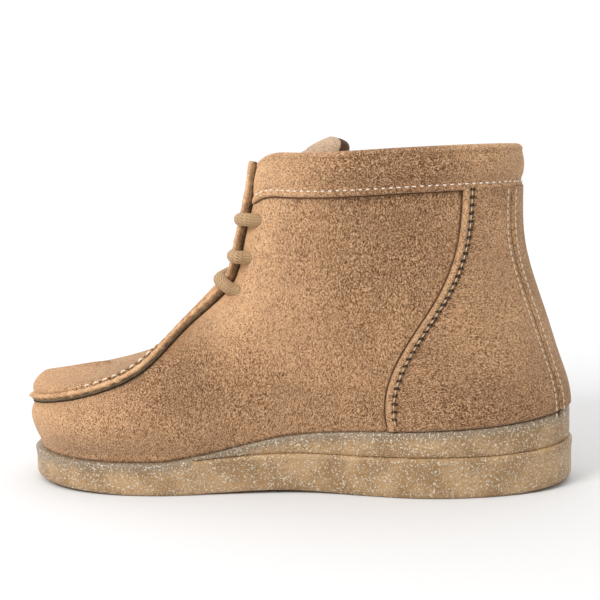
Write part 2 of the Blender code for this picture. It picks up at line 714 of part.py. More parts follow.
def main():
    for old in list(bpy.data.objects):
        bpy.data.objects.remove(old)
    build_sole()
    build_insole()
    build_upper()
    build_raised_seam()
    build_rear_panels()
    build_collar_band()
    build_tongue()
    build_lace()


main()
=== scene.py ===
"""Looks of a tan suede ankle boot of moccasin build on a crepe wedge sole.

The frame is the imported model: +X to the toe, +Y to the inner side, +Z up, origin on the floor
under the flat of the heel. Sizes are in metres. Run inside Blender 4.5.
"""

import bmesh
import bpy
import numpy as np
from mathutils import Matrix


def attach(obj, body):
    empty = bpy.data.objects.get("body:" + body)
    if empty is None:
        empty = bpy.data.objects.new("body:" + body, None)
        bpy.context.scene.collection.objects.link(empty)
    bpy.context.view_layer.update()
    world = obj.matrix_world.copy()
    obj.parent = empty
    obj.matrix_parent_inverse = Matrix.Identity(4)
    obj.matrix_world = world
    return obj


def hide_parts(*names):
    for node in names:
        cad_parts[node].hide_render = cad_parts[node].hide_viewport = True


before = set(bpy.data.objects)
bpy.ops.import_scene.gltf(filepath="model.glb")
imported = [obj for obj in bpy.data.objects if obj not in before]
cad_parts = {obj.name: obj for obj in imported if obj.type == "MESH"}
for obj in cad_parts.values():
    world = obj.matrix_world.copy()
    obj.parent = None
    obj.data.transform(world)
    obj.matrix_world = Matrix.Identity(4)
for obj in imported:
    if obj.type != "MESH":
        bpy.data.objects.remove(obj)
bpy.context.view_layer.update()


# Outsole
# The lower layer of the sole, cut from a sheet of honey-coloured crepe rubber and ground to
# the last's outline, so its edge is rough and full of pale specks. It is glued to the wedge.

LENGTH = 0.274
HEEL_SEAT = 0.25
BALL_WIDTH = 0.100
COLLAR_HEIGHT = 0.165
GAP = 0.0003
OUTSOLE_TOE = 0.0145
OUTSOLE_BALL = 0.0160
OUTSOLE_WAIST = 0.0190
OUTSOLE_HEEL = 0.0200
OUTSOLE_OUT = 0.0028
WEDGE_HEEL = 0.0160
WEDGE_OUT = 0.0018
TOE_SPRING = 0.0034
TOE_SPRING_START = 0.72
HEEL_LIFT = 0.0030
HEEL_LIFT_END = 0.16
ARCH = 0.0015
ARCH_START = 0.35
ARCH_END = 0.71
EDGE_ROUND = 0.0012

# The last by height: places of its back and front as shares of LENGTH, and widths and end
# radii as shares of BALL_WIDTH, at heights that are shares of COLLAR_HEIGHT
LEVEL_COLUMNS = (
    "height", "back", "front", "back_round", "heel_corner", "heel", "waist", "ball_rear",
    "ball", "toe_side", "front_round",
)
LEVELS = (
    (0.12, 0.015, 0.996, 0.24, 0.272, 0.368, 0.360, 0.460, 0.470, 0.350, 0.32),
    (0.18, 0.006, 1.009, 0.26, 0.302, 0.393, 0.393, 0.500, 0.510, 0.385, 0.34),
    (0.25, 0.004, 1.002, 0.26, 0.302, 0.395, 0.398, 0.500, 0.500, 0.360, 0.32),
    (0.30, 0.009, 0.956, 0.26, 0.300, 0.392, 0.396, 0.480, 0.485, 0.350, 0.32),
    (0.375, 0.024, 0.861, 0.25, 0.295, 0.370, 0.390, 0.430, 0.440, 0.355, 0.45),
    (0.485, 0.045, 0.745, 0.23, 0.260, 0.355, 0.380, 0.385, 0.360, 0.270, 0.25),
    (0.59, 0.066, 0.657, 0.21, 0.235, 0.330, 0.365, 0.355, 0.305, 0.185, 0.14),
    (0.73, 0.088, 0.619, 0.20, 0.220, 0.315, 0.360, 0.350, 0.290, 0.185, 0.14),
    (0.88, 0.092, 0.597, 0.20, 0.220, 0.315, 0.370, 0.365, 0.300, 0.185, 0.13),
    (1.02, 0.091, 0.584, 0.20, 0.225, 0.325, 0.385, 0.380, 0.310, 0.190, 0.13),
)
WIDTH_STATIONS = (0.10, 0.25, 0.45, 0.65, 0.80, 0.92)
SWING = (
    (0.0, 0.0), (0.15, 0.005), (0.30, 0.0), (0.50, -0.04), (0.70, -0.02), (0.88, 0.03),
    (1.0, 0.09),
)
SWING_FULL_BELOW = 0.30
SWING_GONE_ABOVE = 0.75
OUTSOLE = ((0.0, OUTSOLE_HEEL), (0.45, OUTSOLE_WAIST), (0.78, OUTSOLE_BALL), (1.0, OUTSOLE_TOE))
WEDGE = ((0.0, 1.0), (0.09, 0.92), (0.24, 0.80), (0.40, 0.70), (0.53, 0.45), (0.62, 0.20), (0.72, 0.0))

# The upper's front edge: place on the edge, height as a share of COLLAR_HEIGHT, and degrees
# back from the middle line
FRONT_EDGE = (
    (0.16, 0.250, 0.0), (0.24, 0.262, 17.0), (0.33, 0.288, 32.5), (0.43, 0.358, 40.5),
    (0.54, 0.485, 30.5), (0.64, 0.588, 24.0), (0.82, 0.770, 24.2), (1.00, 0.955, 25.3),
)
TOE_PLACE = FRONT_EDGE[0][0]
THROAT_PLACE = 0.64
COLLAR_LINE = ((0.0, 1.0), (0.45, 0.990), (0.70, 0.985), (0.80, 0.977), (0.86, 0.955))


def spline_weights(knots, places, level_ends=False):
    """Share of each knot's value in a cubic spline through the knots, read at the places."""
    knots = np.asarray(knots, float)
    count = len(knots)
    step = np.diff(knots)
    left = np.eye(count)
    right = np.zeros((count, count))
    for i in range(1, count - 1):
        left[i, i - 1 : i + 2] = step[i - 1], 2 * (step[i - 1] + step[i]), step[i]
        right[i, i - 1 : i + 2] = 6 / step[i - 1], -6 / step[i - 1] - 6 / step[i], 6 / step[i]
    if level_ends:
        left[0, :2] = 2 * step[0], step[0]
        right[0, :2] = -6 / step[0], 6 / step[0]
        left[-1, -2:] = step[-1], 2 * step[-1]
        right[-1, -2:] = 6 / step[-1], -6 / step[-1]
    bend = np.linalg.solve(left, right)
    places = np.clip(np.asarray(places, float), knots[0], knots[-1])
    i = np.clip(np.searchsorted(knots, places, side="right") - 1, 0, count - 2)
    width = step[i]
    low = ((knots[i + 1] - places) / width)[..., None]
    high = 1 - low
    one = np.eye(count)
    curve = (low**3 - low) * bend[i] + (high**3 - high) * bend[i + 1]
    return low * one[i] + high * one[i + 1] + curve * (width**2 / 6)[..., None]


def read_table(rows, places, column=1, level_ends=False):
    """Smooth value of one column of a table whose first column is the place."""
    table = np.array(rows, float)
    return spline_weights(table[:, 0], places, level_ends) @ table[:, column]


def level_column(name):
    return np.array([row[LEVEL_COLUMNS.index(name)] for row in LEVELS])


def smooth_step(low, high, value):
    share = np.clip((value - low) / (high - low), 0, 1)
    return share * share * (3 - 2 * share)


def along(share):
    """X of a share of the boot's length, from the heel's back."""
    return (share - HEEL_SEAT) * LENGTH


def share_along(x):
    """Share of the boot's length at an X."""
    return x / LENGTH + HEEL_SEAT


def middle_line(x, height):
    """Y of the boot's middle line, which swings to the inner side low down at the toe."""
    fade = 1 - smooth_step(SWING_FULL_BELOW, SWING_GONE_ABOVE, height / COLLAR_HEIGHT)
    return read_table(SWING, share_along(x)) * BALL_WIDTH * fade


def last(angle, height):
    """Point on the outside of the last: at each height a loop from the heel's back at angle
    0 to the toe at pi, its half-width the sine of the angle times a splined fullness."""
    angle, height = np.broadcast_arrays(np.asarray(angle, float), np.asarray(height, float))
    levels = spline_weights(level_column("height"), height / COLLAR_HEIGHT)
    back = along(levels @ level_column("back"))
    reach = along(levels @ level_column("front")) - back
    station = np.sin(angle / 2) ** 2
    stations = np.array(WIDTH_STATIONS)
    knots = 2 * np.arcsin(np.sqrt(stations))
    widths = np.array([row[LEVEL_COLUMNS.index("heel_corner") : -1] for row in LEVELS])
    fullness = widths / np.sqrt(stations * (1 - stations))
    spans = (level_column("front") - level_column("back")) * LENGTH / BALL_WIDTH
    ends = [np.sqrt(2 * level_column(name) * spans) for name in ("back_round", "front_round")]
    fullness = np.column_stack([ends[0], fullness, ends[1]])
    turn = np.pi - np.abs(np.pi - np.abs(angle))
    around = spline_weights([0, *knots, np.pi], turn, level_ends=True)
    full = np.einsum("...i,ij,...j->...", levels, fullness, around) * BALL_WIDTH
    x = back + station * reach
    return np.stack([x, middle_line(x, height) + np.sin(angle) / 2 * full, height], -1)


def on_last(angle, height, out=0.0):
    """Point at a distance outside the last, along the cross product of its two slopes."""
    angle, height = np.broadcast_arrays(np.asarray(angle, float), np.asarray(height, float))
    step = 1e-4
    side = last(angle + step, height) - last(angle - step, height)
    rise = last(angle, height + step) - last(angle, height - step)
    normal = np.cross(rise, side)
    normal /= np.linalg.norm(normal, axis=-1, keepdims=True)
    return last(angle, height) + normal * np.asarray(out)[..., None]


def floor_lift(x):
    """Height of the sole's underside: an arch between flats, toe spring and heel bevel."""
    share = share_along(x)
    toe = np.clip((share - TOE_SPRING_START) / (1 - TOE_SPRING_START), 0, None)
    heel = np.clip((HEEL_LIFT_END - share) / HEEL_LIFT_END, 0, None)
    arch = np.clip((share - ARCH_START) / (ARCH_END - ARCH_START), 0, 1)
    return toe**2 * TOE_SPRING + heel**2 * HEEL_LIFT + np.sin(np.pi * arch) ** 2 * ARCH


def outsole_top(x):
    return floor_lift(x) + read_table(OUTSOLE, share_along(x))


def feather(x):
    """Height of the sole's upper edge, where the upper starts."""
    return outsole_top(x) + WEDGE_HEEL * np.clip(read_table(WEDGE, share_along(x)), 0, None)


def foot(angle):
    """Height of the sole's upper edge under an angle round the last."""
    height = np.full(np.shape(angle), LEVELS[0][0] * COLLAR_HEIGHT)
    for _ in range(3):
        height = feather(last(angle, height)[..., 0])
    return height


def collar(angle):
    """Height of the upper's top edge at an angle round the last."""
    return read_table(COLLAR_LINE, np.abs(angle) / np.pi, level_ends=True) * COLLAR_HEIGHT


def front_edge(place):
    """Height and setback angle of the upper's front edge, from the feather at place 0."""
    place = np.asarray(place, float)
    toe_height = FRONT_EDGE[0][1] * COLLAR_HEIGHT
    low = feather(along(1.0))
    height = read_table(FRONT_EDGE, place, 1) * COLLAR_HEIGHT
    setback = np.radians(read_table(FRONT_EDGE, place, 2))
    below = place < TOE_PLACE
    height = np.where(below, low + (toe_height - low) * place / TOE_PLACE, height)
    return height, np.where(below, 0.0, setback)


def wall(around, up):
    """Point on the outside of the upper's wall, from the heel's back at around 0 to the front
    edges at -1 and 1, and from the sole at up 0 to the collar at 1."""
    around, up = np.broadcast_arrays(np.asarray(around, float), np.asarray(up, float))
    away = np.abs(around)
    edge_height, setback = front_edge(up)
    angle = np.sign(around) * (np.pi * away - setback * away**3)
    low = foot(np.pi * away)
    high = collar(np.pi * away - front_edge(1.0)[1] * away**3)
    edge_low = front_edge(0.0)[0]
    edge_high = front_edge(1.0)[0]
    edge_share = (edge_height - edge_low) / (edge_high - edge_low)
    blend = away**1.5
    share = up * (1 - blend) + edge_share * blend
    return last(angle, low + (high - low) * share)


def wall_normal(around, up):
    """Outward direction of the wall, from its slopes."""
    around, up = np.broadcast_arrays(np.asarray(around, float), np.asarray(up, float))
    step = 1e-4
    side = wall(np.clip(around + step, -1, 1), up) - wall(np.clip(around - step, -1, 1), up)
    rise = wall(around, np.clip(up + step, 0, 1)) - wall(around, np.clip(up - step, 0, 1))
    normal = np.cross(rise, side)
    return normal / np.linalg.norm(normal, axis=-1, keepdims=True)


def ripple(points, pitch, seed):
    """Uneven height between -1 and 1: sines of three tilted waves of about that pitch."""
    rows = np.random.default_rng(seed).normal(size=(7, 3))
    rows *= (2 * np.pi / pitch) / np.linalg.norm(rows, axis=1, keepdims=True)
    rows *= np.linspace(0.6, 1.7, 7)[:, None]
    shifts = np.arange(7) * 1.7 + seed
    return np.sin(points @ rows.T + shifts).sum(-1) / 4


def quads(columns, rows, close_columns=False, close_rows=False, start=0):
    """Corner numbers of a grid's quads, whose rows run fastest, wrapped round where closed."""
    i = np.arange(columns if close_columns else columns - 1)[:, None]
    j = np.arange(rows if close_rows else rows - 1)[None, :]
    i2, j2 = (i + 1) % columns, (j + 1) % rows
    corners = np.stack(
        [i * rows + j, i2 * rows + j, i2 * rows + j2, i * rows + j2], -1
    )
    return corners.reshape(-1, 4) + start


def sweep_faces(columns, rows, start=0, wrap=False):
    """Faces of a solid swept through closed sections: its quads, and a fan cap at each end
    unless the sweep closes on itself."""
    faces = [list(q) for q in quads(columns, rows, wrap, True, start)]
    if not wrap:
        faces.append(list(range(start, start + rows))[::-1])
        end = start + (columns - 1) * rows
        faces.append(list(range(end, end + rows)))
    return faces


def add_piece(name, points, faces, finishes, replaced=(), floats=None, smooth=True):
    """One named object from points and faces, merged where points coincide and turned out,
    that rides on the boot. floats are named numbers for each point, for its material."""
    mesh = bpy.data.meshes.new(name)
    mesh.from_pydata(np.asarray(points).reshape(-1, 3).tolist(), [], [list(f) for f in faces])
    for label, values in (floats or {}).items():
        layer = mesh.attributes.new(label, "FLOAT", "POINT")
        layer.data.foreach_set("value", np.asarray(values, np.float32).ravel())
    form = bmesh.new()
    form.from_mesh(mesh)
    bmesh.ops.remove_doubles(form, verts=form.verts, dist=1e-6)
    bmesh.ops.recalc_face_normals(form, faces=form.faces)
    form.to_mesh(mesh)
    form.free()
    if smooth:
        mesh.shade_smooth()
    piece = bpy.data.objects.new(name, mesh)
    bpy.context.scene.collection.objects.link(piece)
    for finish in finishes:
        mesh.materials.append(finish)
    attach(piece, "root")
    if replaced:
        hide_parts(*replaced)
    return piece


def linear(red, green, blue):
    """Linear colour of an sRGB one that is given from 0 to 255."""
    share = np.array([red, green, blue]) / 255
    value = np.where(share <= 0.04045, share / 12.92, ((share + 0.055) / 1.055) ** 2.4)
    return (*value.tolist(), 1.0)


class Channel:
    """One socket of a material. Sums, products and powers of channels add Math nodes."""

    def __init__(self, tree, socket=None):
        self.tree = tree
        self.socket = socket

    def node(self, kind, settings, values, output=0):
        """A node of that type: its settings first, then the values or links of sockets."""
        node = self.tree.nodes.new(kind)
        for name, value in settings.items():
            if name == "stops":
                ramp = node.color_ramp
                while len(ramp.elements) < len(value):
                    ramp.elements.new(1.0)
                for element, (place, colour) in zip(ramp.elements, value):
                    element.position = place
                    element.color = colour
            else:
                setattr(node, name, value)
        for name, value in values.items():
            if isinstance(value, Channel):
                self.tree.links.new(value.socket, node.inputs[name])
            else:
                node.inputs[name].default_value = value
        return Channel(self.tree, node.outputs[output])

    def math(self, operation, *values):
        return self.node("ShaderNodeMath", {"operation": operation}, dict(enumerate(values)))

    def __add__(self, other):
        return self.math("ADD", self, other)

    def __sub__(self, other):
        return self.math("SUBTRACT", self, other)

    def __rsub__(self, other):
        return self.math("SUBTRACT", other, self)

    def __mul__(self, other):
        return self.math("MULTIPLY", self, other)

    def __pow__(self, other):
        return self.math("POWER", self, other)

    __radd__ = __add__
    __rmul__ = __mul__

    def ramp(self, low, high, start=0.0, end=1.0):
        """Smooth change from start to end while the channel goes from low to high."""
        return self.node(
            "ShaderNodeMapRange", {"interpolation_type": "SMOOTHSTEP"},
            {"Value": self, 1: low, 2: high, 3: start, 4: end},
        )

    def mix(self, first, second):
        """Colour between two others, by this channel."""
        return self.node(
            "ShaderNodeMix", {"data_type": "RGBA"}, {0: self, 6: first, 7: second}, 2
        )

    def noise(self, place, scale, detail=2.0, rough=0.5, twist=0.0):
        """Cloudy noise from 0 to 1 with that many cells to the metre."""
        return self.node(
            "ShaderNodeTexNoise", {},
            {"Vector": place, "Scale": scale, "Detail": detail, "Roughness": rough,
             "Distortion": twist},
        )


def start_finish(name, roughness, sheen=0.0, sheen_tint=(1, 1, 1, 1), specular=0.5):
    """A new material, its shader's node and a channel on Object coordinates."""
    made = bpy.data.materials.new(name)
    made.use_nodes = True
    tree = made.node_tree
    shader = tree.nodes["Principled BSDF"]
    shader.inputs["Roughness"].default_value = roughness
    shader.inputs["Specular IOR Level"].default_value = specular
    shader.inputs["Sheen Weight"].default_value = sheen
    shader.inputs["Sheen Tint"].default_value = sheen_tint
    place = Channel(tree).node("ShaderNodeTexCoord", {}, {}, "Object")
    return made, shader, place


def finish_with(shader, colour, height=None, strength=1.0, depth=0.0003, roughness=None):
    """Links a colour, a bump of that depth in metres and a roughness to the shader."""
    tree = colour.tree
    tree.links.new(colour.socket, shader.inputs["Base Color"])
    if height is not None:
        bump = colour.node(
            "ShaderNodeBump", {}, {"Strength": strength, "Distance": depth, "Height": height}
        )
        tree.links.new(bump.socket, shader.inputs["Normal"])
    if roughness is not None:
        tree.links.new(roughness.socket, shader.inputs["Roughness"])


CREPE_HONEY = linear(188, 151, 106)
CREPE_DEEP = linear(154, 119, 75)
CREPE_FLECK = linear(234, 220, 198)
# Painted shade along the sole's top edge under the upper: its grey, and how far down it reaches
CREPE_SHADE_GREY = linear(122, 113, 98)
CREPE_SHADE_DEPTH = 0.0068


def crepe_finish(name, grey_top):
    """Crepe rubber: warm honey with short pale curls and pits. grey_top is how far the
    attribute greys its top edge with painted shade, just under the upper."""
    made, shader, place = start_finish(name, 0.42, specular=0.5)
    worms = place.noise(place, 560, 1.5, 0.5, 1.2)
    breaks = place.noise(place, 520, 1.0)
    curls = (worms - 0.5).math("ABSOLUTE").ramp(0.062, 0.022) * breaks.ramp(0.42, 0.50)
    specks = place.noise(place, 1300, 1.0, 0.5, 0.6).ramp(0.56, 0.62)
    specks = specks.math("MAXIMUM", specks, curls)
    pits = breaks.ramp(0.42, 0.32)
    cloudy = place.noise(place, 60, 2.0)
    honey = cloudy.ramp(0.35, 0.65).mix(CREPE_DEEP, CREPE_HONEY)
    # Painted shade: the attribute greys the crepe along its top edge, under the upper.
    dust = place.node("ShaderNodeAttribute", {"attribute_name": "dust"}, {}, "Fac")
    honey = (dust * grey_top).mix(honey, CREPE_SHADE_GREY)
    colour = (specks * 0.80).mix((pits * 0.45).mix(honey, CREPE_DEEP), CREPE_FLECK)
    height = specks * 0.5 + worms * 0.3 - pits * 0.4
    finish_with(shader, colour, height, 0.9, 0.0006)
    return made


def sole_points(around, profile, base, top):
    """Grid round the sole: at each place the plan outline of the upper's foot is set out by
    the profile's first column, between the base and top heights by its second."""
    edge = wall(around, 0.0)
    normal = wall_normal(around, 0.0)
    normal[:, 2] = 0
    normal /= np.linalg.norm(normal, axis=-1, keepdims=True)
    points = edge[:, None] + normal[:, None] * profile[None, :, :1]
    points[..., 2] = base[:, None] + (top - base)[:, None] * profile[None, :, 1]
    return points


def rung_faces(count, start):
    """Faces across a ring that runs from the outer front round the back to the inner one."""
    faces = []
    for i in range(count // 2):
        rung = [i, i + 1, count - 2 - i, count - 1 - i]
        rung = rung if rung[1] != rung[2] else [rung[0], rung[1], rung[3]]
        faces.append([start + k for k in rung])
    return faces


def add_sole_layer(name, around, profile, base, top, finish, node, shaded_top):
    """A closed layer of the sole from a profile of its edge, roughened by a tenth of a
    millimetre. The last argument says where its top edge is greyed with painted shade."""
    points = sole_points(around, profile, base, top)
    count, rows = points.shape[:2]
    inner = points.mean(0)
    points = points + np.stack(
        [ripple(points, 0.0060, 3), ripple(points, 0.0055, 5), ripple(points, 0.0052, 7)], -1
    ) * 0.0001 * (0.3 + 0.7 * np.sin(np.pi * profile[None, :, 1:2]))
    faces = [list(q) for q in quads(count, rows, True, False)]
    bottom = [[k * rows for k in face] for face in rung_faces(count, 0)]
    lid = [[k * rows + rows - 1 for k in face] for face in rung_faces(count, 0)]
    depth = (top - base)[:, None] * (1 - profile[None, :, 1])
    # Painted shade under the upper: greyest at the top edge, gone about 7 mm below it.
    dust = smooth_step(CREPE_SHADE_DEPTH, 0.0, depth) * shaded_top[:, None]
    return add_piece(
        name, points, faces + bottom + lid, [finish], (node,), {"dust": dust}
    )


SOLE_COLUMNS = 360
around = np.linspace(-1, 1, SOLE_COLUMNS + 1)
foot_x = wall(around, 0.0)[:, 0]
wedge_here = feather(foot_x) - outsole_top(foot_x) > 0.0015
layer_top = np.where(wedge_here, outsole_top(foot_x), feather(foot_x)) - GAP / 2
OUTSOLE_PROFILE = np.array(
    [
        (-0.0150, 0.0), (-0.0100, 0.0), (0.0012, 0.0), (0.0022, 0.015), (0.0027, 0.06),
        (0.0029, 0.15), (0.0029, 0.25), (0.0028, 0.37), (0.0028, 0.49), (0.0028, 0.61),
        (0.0029, 0.73), (0.0031, 0.83), (0.0033, 0.89), (0.0032, 0.94), (0.0026, 0.98),
        (0.0016, 1.0), (-0.0060, 1.0), (-0.0150, 1.0),
    ]
)
crepe = crepe_finish("crepe_outsole", 0.75)
add_sole_layer(
    "outsole_crepe", around, OUTSOLE_PROFILE, floor_lift(foot_x), layer_top, crepe, "outsole",
    1.0 - wedge_here,
)


# Wedge
# The upper layer of the sole, a wedge of the same crepe from the heel to the waist. A smooth
# rolled groove shows where it is glued to the outsole, and painted shade greys its top edge
# under the upper.

WEDGE_PROFILE = np.array(
    [
        (-0.0150, 0.0), (-0.0040, 0.0), (0.0012, 0.0), (0.0015, 0.03), (0.0016, 0.07),
        (0.0018, 0.14), (0.0019, 0.25), (0.0019, 0.38), (0.0018, 0.52), (0.0018, 0.66),
        (0.0018, 0.78), (0.0017, 0.88), (0.0014, 0.95), (0.0006, 1.0), (-0.0060, 1.0),
        (-0.0150, 1.0),
    ]
)
crepe_shaded_top = crepe_finish("crepe_wedge", 0.75)
wedge_spread = wedge_here | np.roll(wedge_here, 1) | np.roll(wedge_here, -1)
wedge_around, wedge_x = around[wedge_spread], foot_x[wedge_spread]
add_sole_layer(
    "wedge_crepe", wedge_around, WEDGE_PROFILE, outsole_top(wedge_x), feather(wedge_x) - GAP / 2,
    crepe_shaded_top, "wedge_midsole", np.ones(len(wedge_x)),
)


# Insole
# The footbed inside the boot, covered in the same matt lining as the upper's inside. Its CAD
# solid has the right form already, so it only gets its finish.

LINING_LIGHT = linear(196, 178, 156)
LINING_DARK = linear(160, 142, 120)


def lining_finish(name):
    """Matt lining with a faint even weave."""
    made, shader, place = start_finish(name, 0.9, 0.3, (1, 0.95, 0.9, 1), 0.2)
    weave = place.noise(place, 1500, 2.0, 0.6)
    colour = weave.ramp(0.35, 0.65).mix(LINING_DARK, LINING_LIGHT)
    finish_with(shader, colour, weave, 0.5, 0.0002)
    return made


lining = lining_finish("lining_cloth")
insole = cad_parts["insole"]
for place_in_list in range(len(insole.material_slots)):
    insole.material_slots[place_in_list].material = lining


# Upper
# One skin of tan suede with a short curled nap: the quarters that wrap the heel and sides,
# and the apron laid over the toes. It is lined, and six holes are punched for the lace.

WALL = 0.0024
APRON_RIM_TOE = 0.0136
APRON_RIM_THROAT = 0.0072
APRON_RIM_SAG = 0.0048
APRON_SHOULDER = 0.0048
APRON_SQUARE = 2.4
APRON_DISH = 0.0042
APRON_CROWN = 0.0020
APRON_BULGE = 0.0029
APRON_FOCUS = 0.36
APRON_FAN = 1.15
EYELET_RADIUS = 0.0027
LACING = ((0.593, 35.8), (0.693, 34.6), (0.805, 37.3))
WALL_COLUMNS = 280
WALL_ROWS = 92
APRON_COLUMNS = 76

SUEDE_PALE = linear(213, 165, 121)
SUEDE_DEEP = linear(139, 98, 64)
SUEDE_PIT = linear(66, 40, 22)
SUEDE_TIP = linear(234, 196, 156)


def suede_finish(name, stretch, darker=0.0, pale=SUEDE_PALE, deep=SUEDE_DEEP):
    """Suede: curls of nap under a millimetre wide, pale on their ridges and dark in their
    pits, along the stretch, over slow clouds of tone and the tone attribute, which holds the
    nap's own tone together with painted light and shade."""
    made, shader, place = start_finish(name, 0.95, 0.25, (1.0, 0.86, 0.70, 1), 0.15)
    drift = place.node(
        "ShaderNodeTexNoise", {}, {"Vector": place, "Scale": 45, "Detail": 1.0}, "Color"
    )
    shift = place.node(
        "ShaderNodeVectorMath", {"operation": "SCALE"}, {0: drift, "Scale": 0.010}
    )
    bent = place.node("ShaderNodeVectorMath", {"operation": "ADD"}, {0: place, 1: shift})
    bent = place.node("ShaderNodeMapping", {}, {"Vector": bent, "Scale": stretch})
    curls = place.noise(bent, 1750, 2.0, 0.5, 0.8)
    fuzz = place.noise(bent, 3000, 1.0, 0.6)
    nap = curls * 0.62 + fuzz * 0.38
    clouds = place.noise(place, 26, 2.0, 0.5)
    patches = place.noise(place, 120, 2.0, 0.55)
    # The tone attribute: the nap's own tone mixed with painted light and shade.
    tone = place.node("ShaderNodeAttribute", {"attribute_name": "tone"}, {}, "Fac")
    slow = clouds * 0.30 + patches * 0.20 + tone * 0.60 - darker
    base = slow.ramp(0.15, 0.85).mix(deep, pale)
    smoothness = place.node("ShaderNodeAttribute", {"attribute_name": "worn"}, {}, "Fac")
    loft = 1.0 - smoothness * 0.70
    ridge = nap.ramp(0.49, 0.60)
    pit = nap.ramp(0.50, 0.40)
    colour = (pit * loft * 0.80).mix((ridge * loft * 0.62).mix(base, SUEDE_TIP), SUEDE_PIT)
    finish_with(shader, colour, nap * (0.35 + loft * 0.65), 1.0, 0.0009)
    return made


def apron_rows(place):
    """Seam point, spine point and rim height of the apron along its U: the spine runs from a
    focus behind the toe to the throat, and the rim falls from the toe to the throat."""
    away = np.abs(place)
    up = TOE_PLACE + (THROAT_PLACE - TOE_PLACE) * away
    seam = wall(np.where(place < 0, -1.0, 1.0), up)
    throat, toe = wall(1.0, THROAT_PLACE), wall(1.0, TOE_PLACE)
    focus = toe[0] - APRON_FOCUS * BALL_WIDTH
    spine_x = focus + (throat[0] - focus) * away**APRON_FAN
    rim = APRON_RIM_TOE + (APRON_RIM_THROAT - APRON_RIM_TOE) * away
    rim = rim - APRON_RIM_SAG * np.sin(np.pi * away)
    side = wall(1.0, np.linspace(THROAT_PLACE, TOE_PLACE, 60))
    seam_height = np.interp(spine_x, side[:, 0], side[:, 2])
    crown = -APRON_DISH + (APRON_DISH + APRON_CROWN) * smooth_step(0.3, 0.9, away)
    spine_y = middle_line(spine_x, seam_height)
    spine = np.stack([spine_x, spine_y, seam_height + rim + crown], -1)
    return seam, spine, rim


def apron_grid(columns):
    """Grid over the apron from its seam to its spine: a quarter-round shoulder whose height
    is the rim and that bulges out over the toe, blended into a dish that ends at the spine."""
    place = np.linspace(-1, 1, 2 * columns + 1)
    seam, spine, rim = apron_rows(place)
    run = np.linalg.norm((spine - seam)[:, :2], axis=-1)
    shoulder = (1 - np.cos(np.linspace(0, np.pi / 2, 11))) * APRON_SHOULDER
    rest = np.linspace(0, 1, 12)[1:]
    reach = np.minimum(APRON_SHOULDER, run * 0.8)
    inset = np.concatenate(
        [
            shoulder[None, :] * (reach / APRON_SHOULDER)[:, None],
            reach[:, None] + (run - reach)[:, None] * rest[None, :],
        ],
        1,
    )
    share = inset / run[:, None]
    flat = seam[:, None, :2] + (spine - seam)[:, None, :2] * share[..., None]
    fall = np.clip(1 - inset / reach[:, None], 0, 1) ** APRON_SQUARE
    rise = (1 - fall) ** (1 / APRON_SQUARE)
    bulge = APRON_BULGE * smooth_step(0.7, 0.1, np.abs(place))[:, None] * np.sin(np.pi * rise)
    flat -= ((spine - seam)[:, :2] / run[:, None])[:, None] * bulge[..., None]
    blend = share * share * (3 - 2 * share)
    base = seam[:, 2, None] * (1 - blend) + (spine[:, 2] - rim)[:, None] * blend
    height = base + rim[:, None] * rise
    return np.concatenate([flat, height[..., None]], -1)


# Creases worked in on the inner side, from the photo, and on the outer side: start
# and end as shares along the boot and of COLLAR_HEIGHT, half-width and depth in metres
CREASES = (
    (1, (0.60, 0.52), (0.40, 0.40), 0.0085, -0.0009),
    (1, (0.66, 0.44), (0.50, 0.33), 0.0070, 0.0006),
    (1, (0.36, 0.95), (0.33, 0.55), 0.0110, -0.0010),
    (1, (0.44, 0.80), (0.40, 0.50), 0.0090, 0.0007),
    (1, (0.78, 0.32), (0.62, 0.28), 0.0080, -0.0006),
    (1, (0.25, 0.78), (0.40, 0.70), 0.0080, -0.0006),
    (-1, (0.62, 0.50), (0.42, 0.38), 0.0085, -0.0009),
    (-1, (0.68, 0.42), (0.52, 0.30), 0.0070, 0.0006),
    (-1, (0.38, 0.92), (0.34, 0.55), 0.0110, -0.0009),
    (-1, (0.24, 0.80), (0.42, 0.72), 0.0080, -0.0006),
)


def crease_depth(points):
    """Sum of soft strokes: each falls off as a bell across its line and past its ends."""
    share = share_along(points[..., 0])
    height = points[..., 2] / COLLAR_HEIGHT
    total = np.zeros(share.shape)
    for side, start, end, half, depth in CREASES:
        a = np.array([start[0] * LENGTH, start[1] * COLLAR_HEIGHT])
        b = np.array([end[0] * LENGTH, end[1] * COLLAR_HEIGHT])
        p = np.stack([share * LENGTH, height * COLLAR_HEIGHT], -1) - a
        run = np.clip(p @ (b - a) / ((b - a) @ (b - a)), 0, 1)
        away = np.linalg.norm(p - run[..., None] * (b - a), axis=-1)
        total += depth * np.exp(-((away / half) ** 2)) * (points[..., 1] * side > 0)
    return total
